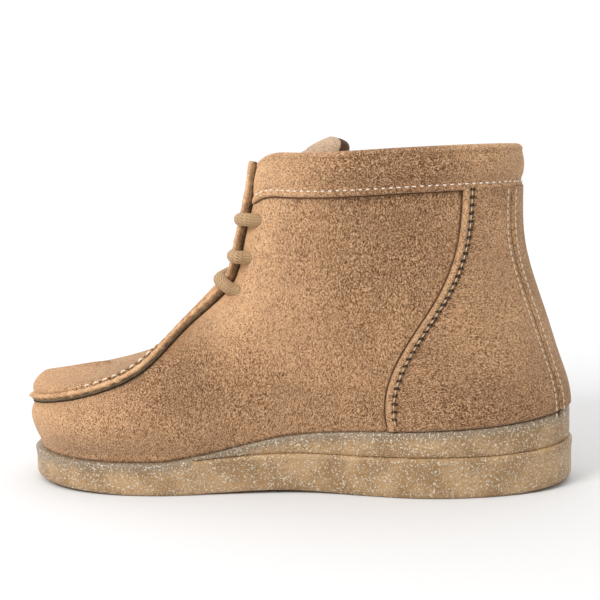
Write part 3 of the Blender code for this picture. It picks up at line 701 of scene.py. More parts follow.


# Soft patches of paler or darker nap, partly the nap's own tone and partly painted light and
# shade, such as the paler toe and the darker heel and middle of the collar band: side, centre
# along the boot and of COLLAR_HEIGHT, half-sizes in metres, and how much paler
TONE_AND_SHADE_PATCHES = (
    (1, 0.86, 0.22, 0.024, 0.014, 0.24), (1, 0.64, 0.36, 0.034, 0.024, -0.28),
    (1, 0.31, 0.78, 0.028, 0.024, -0.30), (1, 0.985, 0.22, 0.016, 0.016, 0.25), (1, 0.74, 0.34, 0.050, 0.024, -0.34),
    (1, 0.61, 0.62, 0.012, 0.040, 0.60), (1, 0.57, 0.86, 0.012, 0.040, 0.55),
    (1, 0.30, 0.95, 0.034, 0.013, -1.25), (1, 0.15, 0.25, 0.050, 0.020, -0.40),
    (1, 0.26, 0.72, 0.030, 0.030, -0.20), (-1, 0.30, 0.95, 0.045, 0.013, -0.45),
    (1, 0.36, 0.68, 0.030, 0.040, -0.22), (1, 0.22, 0.45, 0.030, 0.030, -0.12),
    (1, 0.36, 0.40, 0.016, 0.030, -0.20), (1, 0.70, 0.36, 0.020, 0.016, -0.16),
    (1, 0.55, 0.38, 0.050, 0.016, 0.12), (1, 0.80, 0.30, 0.030, 0.010, 0.16),
    (1, 0.40, 0.25, 0.060, 0.012, -0.10), (1, 0.50, 0.55, 0.020, 0.020, 0.10),
    (-1, 0.985, 0.22, 0.020, 0.016, 0.40), (-1, 0.62, 0.62, 0.010, 0.040, 0.40),
    (-1, 0.57, 0.86, 0.010, 0.040, 0.38), (-1, 0.36, 0.66, 0.030, 0.040, -0.22),
    (-1, 0.68, 0.36, 0.024, 0.016, -0.16), (-1, 0.52, 0.36, 0.050, 0.018, 0.12),
)


def tone_and_shade_of(points):
    """Tone of the nap together with painted light and shade: 0.5, and a bell for each patch on its own side of the
    boot.
    """
    share = share_along(points[..., 0])
    height = points[..., 2] / COLLAR_HEIGHT
    total = np.full(share.shape, 0.5)
    for side, x, z, wide, high, change in TONE_AND_SHADE_PATCHES:
        bell = np.exp(-(((share - x) * LENGTH / wide) ** 2) - ((height - z) * COLLAR_HEIGHT / high) ** 2)
        total += change * bell * smooth_step(-0.006, 0.006, points[..., 1] * side)
    return total


def worn_of(points):
    """How smooth the nap is rubbed: at the toe's tip and beside the lacing edges."""
    share = share_along(points[..., 0])
    tip = smooth_step(0.86, 1.0, share)
    edge = np.concatenate([wall(1.0, np.linspace(0.5, 1, 50)), wall(-1.0, np.linspace(0.5, 1, 50))])
    flat = points.reshape(-1, 3)
    near = np.full(len(flat), 1.0)
    for point in edge:
        near = np.minimum(near, np.linalg.norm(flat - point, axis=1))
    return np.maximum(tip * 0.6, (1 - smooth_step(0.004, 0.014, near.reshape(share.shape))) * 0.9)


around = np.linspace(-1, 1, WALL_COLUMNS + 1)
up = np.concatenate(
    [
        np.linspace(0, TOE_PLACE, 15),
        np.linspace(TOE_PLACE, THROAT_PLACE, APRON_COLUMNS + 1)[1:],
        np.linspace(THROAT_PLACE, 1, 31)[1:],
    ]
)
skin = wall(around[:, None], up[None, :])
normal = wall_normal(around[:, None], up[None, :])
fade = smooth_step(1.0, 0.93, np.abs(around))[:, None] * smooth_step(0.0, 0.06, up)[None, :]
skin = skin + normal * (crease_depth(skin) * fade)[..., None]
apron = apron_grid(APRON_COLUMNS)
skin_faces = [list(q) for q in quads(len(around), len(up))[:, ::-1]]
apron_faces = [list(q) for q in quads(*apron.shape[:2], start=skin.shape[0] * skin.shape[1])]
suede = suede_finish("suede_quarter", (1.0, 1.0, 0.62))
upper = add_piece(
    "upper_suede", np.concatenate([skin.reshape(-1, 3), apron.reshape(-1, 3)]),
    skin_faces + apron_faces, [suede, lining], ("upper",),
)
thicken = upper.modifiers.new("lined wall", "SOLIDIFY")
thicken.thickness = WALL
thicken.offset = -1
thicken.material_offset = 1
turn = np.linspace(0, 2 * np.pi, 20, endpoint=False)
pins = []
for height, setback in LACING:
    for side in (-1, 1):
        angle = side * (np.pi - np.radians(setback))
        outer = on_last(angle, height * COLLAR_HEIGHT, 0.004)
        inner = on_last(angle, height * COLLAR_HEIGHT, -0.004 - WALL)
        axis = (outer - inner) / np.linalg.norm(outer - inner)
        level = np.cross(axis, (0, 0, 1))
        level /= np.linalg.norm(level)
        rim = level * np.cos(turn)[:, None] + np.cross(level, axis) * np.sin(turn)[:, None]
        pins.append(np.stack([inner + rim * EYELET_RADIUS, outer + rim * EYELET_RADIUS]))
pin_faces = [f for k in range(len(pins)) for f in sweep_faces(2, len(turn), 2 * len(turn) * k)]
punch = add_piece("punch", np.array(pins), pin_faces, [suede])
pierce = upper.modifiers.new("lace holes", "BOOLEAN")
pierce.object = punch
pierce.solver = "EXACT"
bpy.context.view_layer.update()
pierced = bpy.data.meshes.new_from_object(upper.evaluated_get(bpy.context.evaluated_depsgraph_get()))
upper.modifiers.clear()
upper.data = pierced
bpy.data.objects.remove(punch)


def tint_piece(piece, paler_and_painted_light=0.0):
    """Writes the tone of the nap, which holds painted light and shade, raised by the second argument, and the rubbed
    share of the nap at each point of a finished piece.
    """
    points = np.empty(len(piece.data.vertices) * 3)
    piece.data.vertices.foreach_get("co", points)
    points = points.reshape(-1, 3)
    for label, values in (("tone", tone_and_shade_of(points) + paler_and_painted_light), ("worn", worn_of(points))):
        layer = piece.data.attributes.get(label) or piece.data.attributes.new(label, "FLOAT", "POINT")
        layer.data.foreach_set("value", values.astype(np.float32))


tint_piece(upper)


# Raised seam
# Apron and quarters are turned up back to back and sewn through, which leaves a standing lip
# of two leaves: the inner one shows its pale grain edge, the outer one its raw dark edge.

LIP_REACH_TOE = 0.0033
LIP_REACH_FLAP = 0.0030
PALE_LEAF = 0.0028
RAW_LEAF_TOE = 0.0009
RAW_LEAF_FLAP = 0.0021
LIP_INSET = -0.0010
SEAM_PITCH = 0.0052
SCALLOP = 0.00034
SEAM_STITCH = 0.0027
SEAM_STITCHED = 0.40
THREAD = 0.00038
CREAM = linear(240, 226, 200)
# Dark of the needle holes: painted shade in place of the holes' depth
STITCH_HOLE_SHADE = linear(46, 30, 18)
RAW_EDGE = linear(150, 112, 74)
RAW_GREY = linear(140, 120, 92)
# Painted shade in the crevice at the foot of the seam's lip
CREVICE_SHADE = linear(44, 28, 16)


def seam_frame(path):
    """Points of the upper's front edge with their outward, along and inboard directions, for
    places from -1 at the outer collar over 0 at the toe to 1 at the inner collar."""
    away = np.abs(path)
    height, setback = front_edge(TOE_PLACE + (1 - TOE_PLACE) * away)
    angle = np.where(path < 0, -1, 1) * (np.pi - setback)
    edge = last(angle, height)
    out = on_last(angle, height, np.ones(angle.shape)) - edge
    run = np.gradient(edge, axis=0)
    run /= np.linalg.norm(run, axis=-1, keepdims=True)
    inboard = np.cross(run, out)
    inboard /= np.linalg.norm(inboard, axis=-1, keepdims=True)
    out = np.cross(inboard, run)
    return edge, out, run, inboard


def even_places(count, low=-1.0, high=1.0):
    """Places on the seam an even distance apart."""
    fine = np.linspace(low, high, 2001)
    edge = seam_frame(fine)[0]
    length = np.concatenate([[0], np.cumsum(np.linalg.norm(np.diff(edge, axis=0), axis=1))])
    return np.interp(np.linspace(0, length[-1], count), length, fine), length[-1]


def leaf_sections(places, low, high, reach, lean):
    """Closed sections of one leaf between two insets from the seam, rounded at its free edge
    and leaning down over the leaf below it."""
    edge, out, run, inboard = seam_frame(places)
    middle, half = (low + high) / 2, (high - low) / 2
    chain = [(-1, 0.0), (-1, 0.55), (-0.96, 0.86), (-0.78, 0.97), (0, 1.0), (0.80, 0.99),
             (0.96, 0.92), (1, 0.60), (1, 0.0)]
    sections = []
    for across, rise in chain:
        shift = middle + half * across + lean * rise**1.5
        sections.append(edge + out * (rise * reach + 0.0004)[:, None] + inboard * shift[:, None])
    return np.stack(sections, 1)


def leaf_finish(name, first, second, raw_first=None, raw_second=None):
    """Cut suede: fibres between two browns, or between two others by the attribute 'raw'."""
    made, shader, place = start_finish(name, 0.95, 0.2, (1, 0.9, 0.75, 1), 0.1)
    fibre = place.noise(place, 1400, 3.0, 0.6, 0.8)
    patch = place.noise(place, 240, 1.0)
    mixed = (fibre * 0.7 + patch * 0.3).ramp(0.36, 0.62)
    colour = mixed.mix(first, second)
    if raw_first:
        raw = place.node("ShaderNodeAttribute", {"attribute_name": "raw"}, {}, "Fac")
        colour = raw.mix(colour, mixed.mix(raw_first, raw_second))
    finish_with(shader, colour, fibre, 0.9, 0.0005)
    return made


def add_crevice(name, path, out, radius, finish):
    """A thin dark thread half sunk along a path: painted shade standing for the shadowed depth of a seam or edge."""
    run = np.gradient(path, axis=0)
    run /= np.linalg.norm(run, axis=1, keepdims=True)
    across = np.cross(run, out)
    turn = np.linspace(0, 2 * np.pi, 8, endpoint=False)
    ring = across[:, None] * np.cos(turn)[None, :, None] + out[:, None] * np.sin(turn)[None, :, None]
    grid = path[:, None] + ring * radius
    return add_piece(name, grid, sweep_faces(len(path), 8), [finish], ())


# Finishes of the crevice threads, made as cut suede: painted shade, near black at the seam and brown at the counters,
# strap and band.
crevice_painted_shade = leaf_finish("crevice_painted_shade", CREVICE_SHADE, linear(66, 44, 27))
crevice_painted_shade_brown = leaf_finish("crevice_painted_shade_brown", linear(74, 48, 28), linear(116, 80, 50))
seam_count = 1100
places, seam_length = even_places(seam_count)
distance = np.linspace(0, seam_length, seam_count)
flap = smooth_step(0.40, 0.62, np.abs(places))
reach = LIP_REACH_TOE + (LIP_REACH_FLAP - LIP_REACH_TOE) * flap
seam_points = seam_frame(places)[0]
ragged = ripple(seam_points, 0.0060, 11) * 0.00016 + ripple(seam_points, 0.0019, 4) * 0.00012
scallop = np.cos(2 * np.pi * distance / SEAM_PITCH) * SCALLOP * (1 - flap) + ragged * 1.6
pale_low = np.full(seam_count, LIP_INSET)
pale_high = LIP_INSET + PALE_LEAF + scallop
raw_low = np.full(seam_count, LIP_INSET + PALE_LEAF - 0.0004)
raw_high = LIP_INSET + PALE_LEAF + RAW_LEAF_TOE + (RAW_LEAF_FLAP - RAW_LEAF_TOE) * flap + ragged * 0.5
inner_leaf = leaf_sections(places, pale_low, pale_high, reach + scallop, 0.0010 * (1 - flap))
outer_leaf = leaf_sections(places, raw_low, raw_high, reach - 0.0019 + 0.0006 * flap, 0.0 * flap)


def with_ends(leaf, run):
    """The leaf's sections carried on past both ends, up to the collar, and closed in."""
    ends = []
    for last_one, way in ((leaf[0], -run[0]), (leaf[-1], run[-1])):
        centre = last_one.mean(0)
        ends.append(
            [centre + way * d + (last_one - centre) * s
             for d, s in ((0.001, 1.0), (0.002, 0.99), (0.0032, 0.93), (0.0040, 0.78), (0.0044, 0.45))]
        )
    return np.concatenate([np.array(ends[0])[::-1], leaf, np.array(ends[1])])


edge, out, run, inboard = seam_frame(places)
inner_leaf, outer_leaf = with_ends(inner_leaf, run), with_ends(outer_leaf, run)
leaf_faces = sweep_faces(*inner_leaf.shape[:2])
add_piece(
    "seam_inner_leaf", inner_leaf, leaf_faces,
    [leaf_finish("suede_leaf_edge", linear(172, 128, 88), linear(226, 184, 142))],
    ("raised_seam",),
)
raw = np.broadcast_to(np.pad(flap, 5, "edge")[:, None], outer_leaf.shape[:2])
add_piece(
    "seam_outer_leaf", outer_leaf, leaf_faces,
    [leaf_finish("suede_raw_edge", linear(98, 80, 58), RAW_GREY, linear(76, 50, 29), RAW_EDGE)],
    (), {"raw": raw},
)
# Painted shade: a dark thread at the foot of the lip, where it stands off the quarter.
foot_line = edge + inboard * (raw_high + 0.0002)[:, None] + out * 0.0003
add_crevice("seam_crevice_shade", foot_line[4:-4], out[4:-4], 0.00034, crevice_painted_shade)


def thread_finish(name, colour):
    """Waxed thread of one plain colour with its twist as a fine bump."""
    made, shader, place = start_finish(name, 0.6, 0.1, (1, 1, 1, 1), 0.3)
    twist = place.noise(place, 2200, 1.0)
    finish_with(shader, twist.ramp(0.3, 0.7).mix(tuple(0.8 * c for c in colour[:3]) + (1,), colour), twist, 0.4, 0.0001)
    return made


def stitch_points(middle, run, out, length, radius, bow, sides=6, rings=7):
    """Grids of short threads: each a round bar along its run that bows out in the middle and
    dips at both ends, worked out for all stitches at once."""
    t = np.linspace(-1, 1, rings)
    turn = np.linspace(0, 2 * np.pi, sides, endpoint=False)
    across = np.cross(run, out)
    centre = (
        middle[:, None] + run[:, None] * (t * length / 2)[None, :, None]
        + out[:, None] * ((1 - t**2) * bow - bow * 0.4)[None, :, None]
    )
    thick = radius * np.sqrt(np.clip(1 - np.abs(t) ** 5, 0.12, 1))
    ring = (
        across[:, None] * np.cos(turn)[None, :, None] + out[:, None] * np.sin(turn)[None, :, None]
    )
    return centre[:, :, None] + ring[:, None] * thick[None, :, None, None]


def add_stitches(name, middle, run, out, length, finish, slot, radius=THREAD, bow=0.0004):
    grid = stitch_points(middle, run, out, length, radius, bow)
    count, rings, sides = grid.shape[:3]
    one = sweep_faces(rings, sides)
    faces = [[v + k * rings * sides for v in face] for k in range(count) for face in one]
    return add_piece(name, grid, faces, [finish], ())


def add_holes(name, middle, out, radius, finish, slot):
    """Needle holes: small dark lens-shaped discs sunk level with the suede, their dark colour painted shade in place of
    the holes' depth.
    """
    turn = np.linspace(0, 2 * np.pi, 8, endpoint=False)
    helper = np.cross(out, (0.3, 0.2, 1.0))
    helper /= np.linalg.norm(helper, axis=-1, keepdims=True)
    other = np.cross(out, helper)
    ring = helper[:, None] * np.cos(turn)[None, :, None] + other[:, None] * np.sin(turn)[None, :, None]
    layers = [(0.75, -0.0003), (1.0, 0.0), (0.6, 0.00008)]
    grid = np.stack([middle[:, None] + ring * radius * s + out[:, None] * h for s, h in layers], 1)
    one = sweep_faces(3, 8)
    faces = [[v + k * 24 for v in face] for k in range(len(middle)) for face in one]
    return add_piece(name, grid, faces, [finish], ())


cream = thread_finish("thread_cream", CREAM)
# The needle holes use a plain thread finish in a dark colour: painted shade for the holes.
needle_hole_shade = thread_finish("needle_hole_shade", STITCH_HOLE_SHADE)
toe_places, toe_length = even_places(2001, -SEAM_STITCHED, SEAM_STITCHED)
stitch_count = int(toe_length / SEAM_PITCH)
stitch_knots = np.linspace(0, stitch_count, 2001)


def seam_at(at):
    """Points in the groove above the lip at places on the seam, their run and up-and-out
    directions, read from a fine run of the seam."""
    fine = np.linspace(-1, 1, 4001)
    edge, out, run, inboard = [
        np.stack([np.interp(at, fine, v[:, k]) for k in range(3)], 1) for v in seam_frame(fine)
    ]
    tilt = out * 0.75 - inboard * 0.65
    tilt /= np.linalg.norm(tilt, axis=1, keepdims=True)
    return edge - inboard * 0.0019 + out * 0.0029, run, tilt


middle, run, tilt = seam_at(np.interp(np.arange(stitch_count) + 0.5, stitch_knots, toe_places))
add_stitches("seam_stitches", middle, run, tilt, SEAM_STITCH, cream, "suede_trim", 0.00052)
middle, run, tilt = seam_at(np.interp(np.arange(1, stitch_count), stitch_knots, toe_places))
add_holes("seam_holes", middle + tilt * 0.0001, tilt, 0.00062, needle_hole_shade, "suede_trim")


# Counters and back strap
# A suede panel over each side of the heel, its front edge turned under and sewn down beside
# two rows of needle holes, and a strip that covers the heel seam between them.

PANEL = 0.0015
STRAP_PROUD = 0.0006
STRAP_TOP_HALF = 0.0150
STRAP_FOOT_HALF = 0.0195
BAND_HEIGHT = 0.0182
COUNTER_EDGE = (
    (0.16, 0.313), (0.22, 0.323), (0.33, 0.319), (0.45, 0.285), (0.58, 0.235), (0.72, 0.202),
    (0.88, 0.192),
)


def side_angle(place, height):
    """Angle round the last at which a height passes a place along the boot."""
    levels = spline_weights(level_column("height"), height / COLLAR_HEIGHT)
    back, front = levels @ level_column("back"), levels @ level_column("front")
    return 2 * np.arcsin(np.sqrt(np.clip((place - back) / (front - back), 0, 1)))


def strap_edge(height):
    """Angle of the back strap's edge, which spreads towards the sole."""
    share = np.clip(height / COLLAR_HEIGHT, 0, 1)
    half = STRAP_FOOT_HALF + (STRAP_TOP_HALF - STRAP_FOOT_HALF) * share
    turns = np.linspace(0, 1.4, 60)
    path = last(turns[None, :], np.asarray(height)[:, None])
    steps = np.linalg.norm(np.diff(path, axis=1), axis=-1)
    gone = np.concatenate([np.zeros((len(path), 1)), np.cumsum(steps, 1)], 1)
    return np.array([np.interp(w, r, turns) for w, r in zip(half, gone)])


def counter_edge(height):
    return side_angle(read_table(COUNTER_EDGE, height / COLLAR_HEIGHT), height)


def band_foot(angle):
    return collar(angle) - BAND_HEIGHT


def rear_grid(near, far, rows, columns, sink):
    """Angles and heights between two edges given as functions of height, from the sole to
    under the collar band. sink lowers the foot below the sole's edge."""
    share = np.linspace(0, 1, rows)
    edges = []
    for edge_of in (near, far):
        angle = np.full(rows, 0.6)
        for _ in range(8):
            low, high = foot(angle) - sink, band_foot(angle) + 0.0010
            angle = edge_of(low + (high - low) * share)
        edges.append(angle)
    rows_up = foot(edges[1]) + (band_foot(edges[1]) - foot(edges[1])) * share
    fan = edges[0] + (edges[1] - edges[0]) * np.linspace(0, 1, 60)[:, None]
    wide = np.linalg.norm(np.diff(last(fan, rows_up), axis=0), axis=-1).sum(0)
    near = np.array([0, 0.0002, 0.0006, 0.0012, 0.0022])[:, None] / wide
    front = np.array(
        [0.0075, 0.0064, 0.0056, 0.0050, 0.0045, 0.0040, 0.0035, 0.0030, 0.0025, 0.0020, 0.0015,
         0.0010, 0.0006, 0.0003, 0.0001, 0]
    )[:, None] / wide
    between = near[-1] + (1 - front[0] - near[-1]) * np.linspace(0, 1, columns)[1:-1, None]
    across = np.concatenate([near, between, 1 - front])
    angle = edges[0] + (edges[1] - edges[0]) * across
    low, high = foot(angle) - sink, band_foot(angle) + 0.0010
    return angle, low + (high - low) * share, across, wide


def panel_piece(name, side, angle, height, across, wide, proud, roll, node, finish):
    """A panel on the last: its outside stands proud by the panel and a rolled front edge,
    both rounded down to the wall at the rims."""
    columns, rows = angle.shape
    share = np.linspace(0, 1, rows)[None, :]
    rim = np.minimum(across, 1 - across) * wide
    behind = (1 - across) * wide
    foot_rim = share * 0.110
    round_off = np.sqrt(np.clip(1 - (1 - np.clip(rim / 0.0012, 0, 1)) ** 2, 0, 1))
    round_off = round_off * np.sqrt(np.clip(1 - (1 - np.clip(foot_rim / 0.0014, 0, 1)) ** 2, 0, 1))
    swell = roll * np.exp(-(((behind - 0.0015) / 0.0012) ** 2))
    sag = -roll * 0.7 * np.exp(-(((behind - 0.0042) / 0.0010) ** 2))
    out = 0.0001 + (proud + swell + sag) * (0.15 + 0.85 * round_off)
    low = on_last(side * angle, height, np.full(angle.shape, 0.0))
    high = on_last(side * angle, height, out * np.ones(angle.shape))
    faces = [list(q) for q in quads(columns, rows)]
    lift = columns * rows
    faces += [[v + lift for v in q[::-1]] for q in quads(columns, rows).tolist()]
    border = [i * rows for i in range(columns)] + [(columns - 1) * rows + j for j in range(1, rows)]
    border += [i * rows + rows - 1 for i in range(columns - 2, -1, -1)]
    border += list(range(rows - 2, 0, -1))
    faces += [[a, b, b + lift, a + lift] for a, b in zip(border, border[1:] + border[:1])]
    piece = add_piece(name, np.stack([low, high]), faces, [finish], (node,))
    # Painted light on the counters' rolled front edge: a painted highlight on the crown of the roll and painted shade
    # in the dip behind it.
    paler_and_painted_light = 0.45 * np.exp(-(((behind - 0.0012) / 0.0014) ** 2))
    paler_and_painted_light -= 0.40 * np.exp(-(((behind - 0.0042) / 0.0013) ** 2))
    tint_piece(piece, np.stack([paler_and_painted_light, paler_and_painted_light]).ravel() * (roll > 0))


suede_counter = suede_finish("suede_counter", (0.62, 1.0, 1.0), 0.03)
gap_turn = GAP / (0.25 * BALL_WIDTH)
panel_grid = rear_grid(lambda h: strap_edge(h) - 2 * gap_turn, counter_edge, 110, 40, 0.0)
for name, side in (("inner_counter", 1), ("outer_counter", -1)):
    panel_piece(name + "_suede", side, *panel_grid, PANEL + 0.0003, 0.0009, name, suede_counter)
strap_grid = rear_grid(lambda h: -strap_edge(h), strap_edge, 100, 26, 0.0)
panel_piece(
    "back_strap_suede", 1, *strap_grid, PANEL + STRAP_PROUD + 0.0004, 0.0, "back_strap",
    suede_counter,
)


def row_on_last(side, line, low, high, pitch, out, shift=0.0):
    """Stitch middles, runs and outward directions along a line over the last, given as the
    angle for each height, and shifted sideways over the surface."""
    heights = np.linspace(low, high, 400)
    angles = line(heights)
    width = np.linalg.norm(last(angles + 1e-3, heights) - last(angles - 1e-3, heights), axis=1) / 2e-3
    angles = angles + shift / width
    path = on_last(side * angles, heights, np.full(400, out))
    gone = np.concatenate([[0], np.cumsum(np.linalg.norm(np.diff(path, axis=0), axis=1))])
    at = np.arange(pitch / 2, gone[-1], pitch)
    middle = np.stack([np.interp(at, gone, path[:, k]) for k in range(3)], 1)
    run = np.stack([np.interp(at, gone, np.gradient(path[:, k], gone)) for k in range(3)], 1)
    run /= np.linalg.norm(run, axis=1, keepdims=True)
    a, h = np.interp(at, gone, side * angles), np.interp(at, gone, heights)
    away = on_last(a, h, np.ones(len(a))) - last(a, h)
    return middle, run, away


tan_thread = thread_finish("thread_tan", linear(222, 198, 166))
COUNTER_PITCH = 0.0038
counter_low = float(foot(np.array([1.0]))[0]) + 0.002
counter_high = COLLAR_HEIGHT - BAND_HEIGHT - 0.001
parts = [[], [], []]
holes = [[], []]
for side in (1, -1):
    row = row_on_last(side, counter_edge, counter_low, counter_high, COUNTER_PITCH, 0.0019, -0.0042)
    for bag, values in zip(parts, row):
        bag.append(values)
    for shift, level in ((-0.0034, 0.00235), (-0.0050, 0.00210)):
        middle, run, away = row_on_last(
            side, counter_edge, counter_low, counter_high, COUNTER_PITCH, level, shift
        )
        holes[0].append(middle + run * COUNTER_PITCH / 2)
        holes[1].append(away)
    for shift, line_of in ((-0.0022, strap_edge), (0.0026, strap_edge)):
        row = row_on_last(side, line_of, counter_low, counter_high, 0.0033, PANEL + 0.0006 + (shift < 0) * STRAP_PROUD, shift)
        for bag, values in zip(parts, row):
            bag.append(values)
parts = [np.concatenate(bag) for bag in parts]
add_stitches("panel_stitches", *parts, 0.0024, tan_thread, "suede_trim", 0.00034, 0.0003)
add_holes("panel_holes", *[np.concatenate(bag) for bag in holes], 0.00068, needle_hole_shade, "suede_trim")
# Painted shade: brown threads along each counter's front edge and beside the back strap.
for name, side in (("inner", 1), ("outer", -1)):
    line, run, away = row_on_last(
        side, counter_edge, counter_low - 0.001, counter_high, 0.0008, 0.0003, 0.0004
    )
    add_crevice(name + "_counter_crevice", line, away, 0.00050, crevice_painted_shade_brown)
    line, run, away = row_on_last(side, strap_edge, counter_low, counter_high, 0.0012, 0.0017, 0.0002)
    add_crevice(name + "_strap_crevice", line, away, 0.00028, crevice_painted_shade_brown)


# Collar band
# A strip of the same suede folded over the collar with a soft pad in it, sewn down near its
# lower edge with a row of white stitches.

BAND_INSIDE = 0.0140
BAND_PAD = 0.0012
BAND_END = 5.5
WHITE_THREAD = linear(250, 244, 234)

end = np.pi - np.radians(FRONT_EDGE[-1][2] + BAND_END)
angle = np.linspace(-end, end, 300)
top = collar(angle)
face = GAP + PANEL
depths = np.array([1.0, 0.985, 0.95, 0.88, 0.80, 0.74, 0.66, 0.52, 0.38, 0.24, 0.12, 0.0])
pads = np.array([0.15, 0.62, 0.80, 0.78, 0.52, 0.60, 0.90, 1.10, 1.15, 1.05, 0.85, 0.60])
chain = [(GAP + (PANEL + BAND_PAD) * p * 0.8, -BAND_HEIGHT * d) for d, p in zip(depths, pads)]
crown = face + WALL / 2 + BAND_PAD * 0.2
turn = np.radians(np.arange(12, 180, 12))
chain += [(crown * np.cos(a) - WALL / 2, crown * 0.92 * np.sin(a)) for a in turn]
inside = -(WALL + GAP + PANEL)
chain += [(inside, 0.0), (inside, -BAND_INSIDE * 0.5), (inside, -BAND_INSIDE * 0.97)]
chain += [(inside + PANEL * 0.5, -BAND_INSIDE), (inside + PANEL, -BAND_INSIDE), (inside + PANEL, 0.0)]
inner_crown = WALL / 2 + GAP
turn = np.radians(np.arange(150, 10, -30))
chain += [(inner_crown * np.cos(a) - WALL / 2, inner_crown * np.sin(a)) for a in turn]
chain += [(GAP, 0.0), (GAP, -BAND_HEIGHT / 2), (GAP, -BAND_HEIGHT)]
near_end = 1 - np.abs(angle) / end
close_in = np.sqrt(np.clip(1 - (1 - np.clip(near_end / 0.012, 0, 1)) ** 2, 0.05, 1))
sections = []
for out, rise in chain:
    puff = np.where(out > GAP, GAP + (out - GAP) * (0.55 + 0.45 * close_in), out)
    point = on_last(angle, top + min(rise, 0.0), puff)
    point[:, 2] += max(rise, 0.0) * (0.4 + 0.6 * close_in)
    sections.append(point)
sections = np.stack(sections, 1)
suede_band = suede_finish("suede_band", (0.8, 1.0, 0.8), 0.02)
band = add_piece(
    "collar_band_suede", sections, sweep_faces(*sections.shape[:2]), [suede_band],
    ("collar_band",),
)
tint_piece(band, 0.32)

# Painted shade: a brown thread along the band's lower edge.
fine = np.linspace(-end * 0.99, end * 0.99, 900)
foot_line = on_last(fine, band_foot(fine) - 0.0003, np.full(900, 0.0004))
away = on_last(fine, band_foot(fine), np.ones(900)) - last(fine, band_foot(fine))
add_crevice("band_crevice_shade", foot_line, away, 0.00040, crevice_painted_shade_brown)

BAND_PITCH = 0.0036
fine = np.linspace(-end * 0.99, end * 0.99, 3000)
path = on_last(fine, band_foot(fine) + 0.0030, np.full(3000, GAP + (PANEL + BAND_PAD) * 0.50))
gone = np.concatenate([[0], np.cumsum(np.linalg.norm(np.diff(path, axis=0), axis=1))])
at = np.arange(BAND_PITCH / 2, gone[-1], BAND_PITCH)
middle = np.stack([np.interp(at, gone, path[:, k]) for k in range(3)], 1)
run = np.stack([np.interp(at, gone, np.gradient(path[:, k], gone)) for k in range(3)], 1)
run /= np.linalg.norm(run, axis=1, keepdims=True)
at_angle = np.interp(at, gone, fine)
away = on_last(at_angle, band_foot(at_angle), np.ones(len(at))) - last(at_angle, band_foot(at_angle))
white_thread = thread_finish("thread_white", WHITE_THREAD)
add_stitches("band_stitches", middle, run, away, 0.0018, white_thread, "suede_trim", 0.00032, 0.0004)


# Tongue
# A tongue of the same suede, rooted under the apron behind both lacing edges. It leans back
# into the opening, and its tip shows over the collar.

TONGUE_THICK = 0.0022
TONGUE_CORNER_DROP = 0.0120
TONGUE = (
    (0.545, 0.008, 0.0, 42.0), (0.60, 0.038, 0.0, 42.0), (0.70, 0.045, 0.0, 42.0),
    (0.77, 0.042, 0.020, 43.0), (0.84, 0.040, 0.070, 45.0), (0.93, 0.030, 0.145, 50.0),
    (1.00, 0.027, 0.200, 58.0), (1.052, 0.025, 0.360, 66.0),
)
across = np.linspace(-1, 1, 71)[:, None]
low, tip = TONGUE[0][0] * COLLAR_HEIGHT, TONGUE[-1][0] * COLLAR_HEIGHT
high = tip - TONGUE_CORNER_DROP * np.abs(across) ** 3
height = low + (high - low) * np.linspace(0, 1, 90)
share = height / COLLAR_HEIGHT
inset = WALL + read_table(TONGUE, share, 1) * BALL_WIDTH
lean = read_table(TONGUE, share, 2) * BALL_WIDTH
turn = np.radians(read_table(TONGUE, share, 3)) * across
angle = np.where(turn < 0, -1, 1) * (np.pi - np.abs(turn))
rim = np.minimum(1 - np.abs(across), (1 - np.linspace(0, 1, 90)) * 1.2) * 0.030
thin = TONGUE_THICK * (0.25 + 0.75 * np.sqrt(1 - (1 - np.clip(rim / 0.0015, 0, 1)) ** 2))
faces_of = []
for depth in (inset + TONGUE_THICK / 2 + thin / 2, inset + TONGUE_THICK / 2 - thin / 2):
    face_grid = on_last(angle, height, -depth)
    face_grid[..., 0] -= lean
    faces_of.append(face_grid)
columns, rows = faces_of[0].shape[:2]
lift = columns * rows
faces = quads(columns, rows).tolist() + [[v + lift for v in q[::-1]] for q in quads(columns, rows).tolist()]
border = [i * rows for i in range(columns)] + [(columns - 1) * rows + j for j in range(1, rows)]
border += [i * rows + rows - 1 for i in range(columns - 2, -1, -1)] + list(range(rows - 2, 0, -1))
faces += [[a, b, b + lift, a + lift] for a, b in zip(border, border[1:] + border[:1])]
suede_tongue = suede_finish("suede_tongue", (1, 1, 1), -0.15, linear(222, 190, 162), linear(150, 120, 94))
tongue = add_piece("tongue_suede", np.stack(faces_of), faces, [suede_tongue], ("tongue",))
tint_piece(tongue)


# Lace
# One round braided lace through all six holes: it crosses between the edges at each row and
# climbs from row to row behind them; its hidden ends stop at the lowest hole on the outer side
# and at the top hole on the inner side.

LACE = 0.0067
ROW_BOW = (0.80, 0.12, 0.0)
LACE_PALE = linear(192, 158, 118)
LACE_DARK = linear(84, 60, 36)
BRAID_RIBS = 7
BRAID_PITCH = 0.0052


def eyelet(side, row, out):
    height, setback = LACING[row]
    return on_last(side * (np.pi - np.radians(setback)), height * COLLAR_HEIGHT, out)


def lip_stop(side, row, part, out):
    height, setback = LACING[row]
    edge_setback = np.interp(height, [r[1] for r in FRONT_EDGE], [r[2] for r in FRONT_EDGE])
    angle = side * (np.pi - np.radians(setback + (edge_setback - setback) * part))
    return on_last(angle, height * COLLAR_HEIGHT, out)


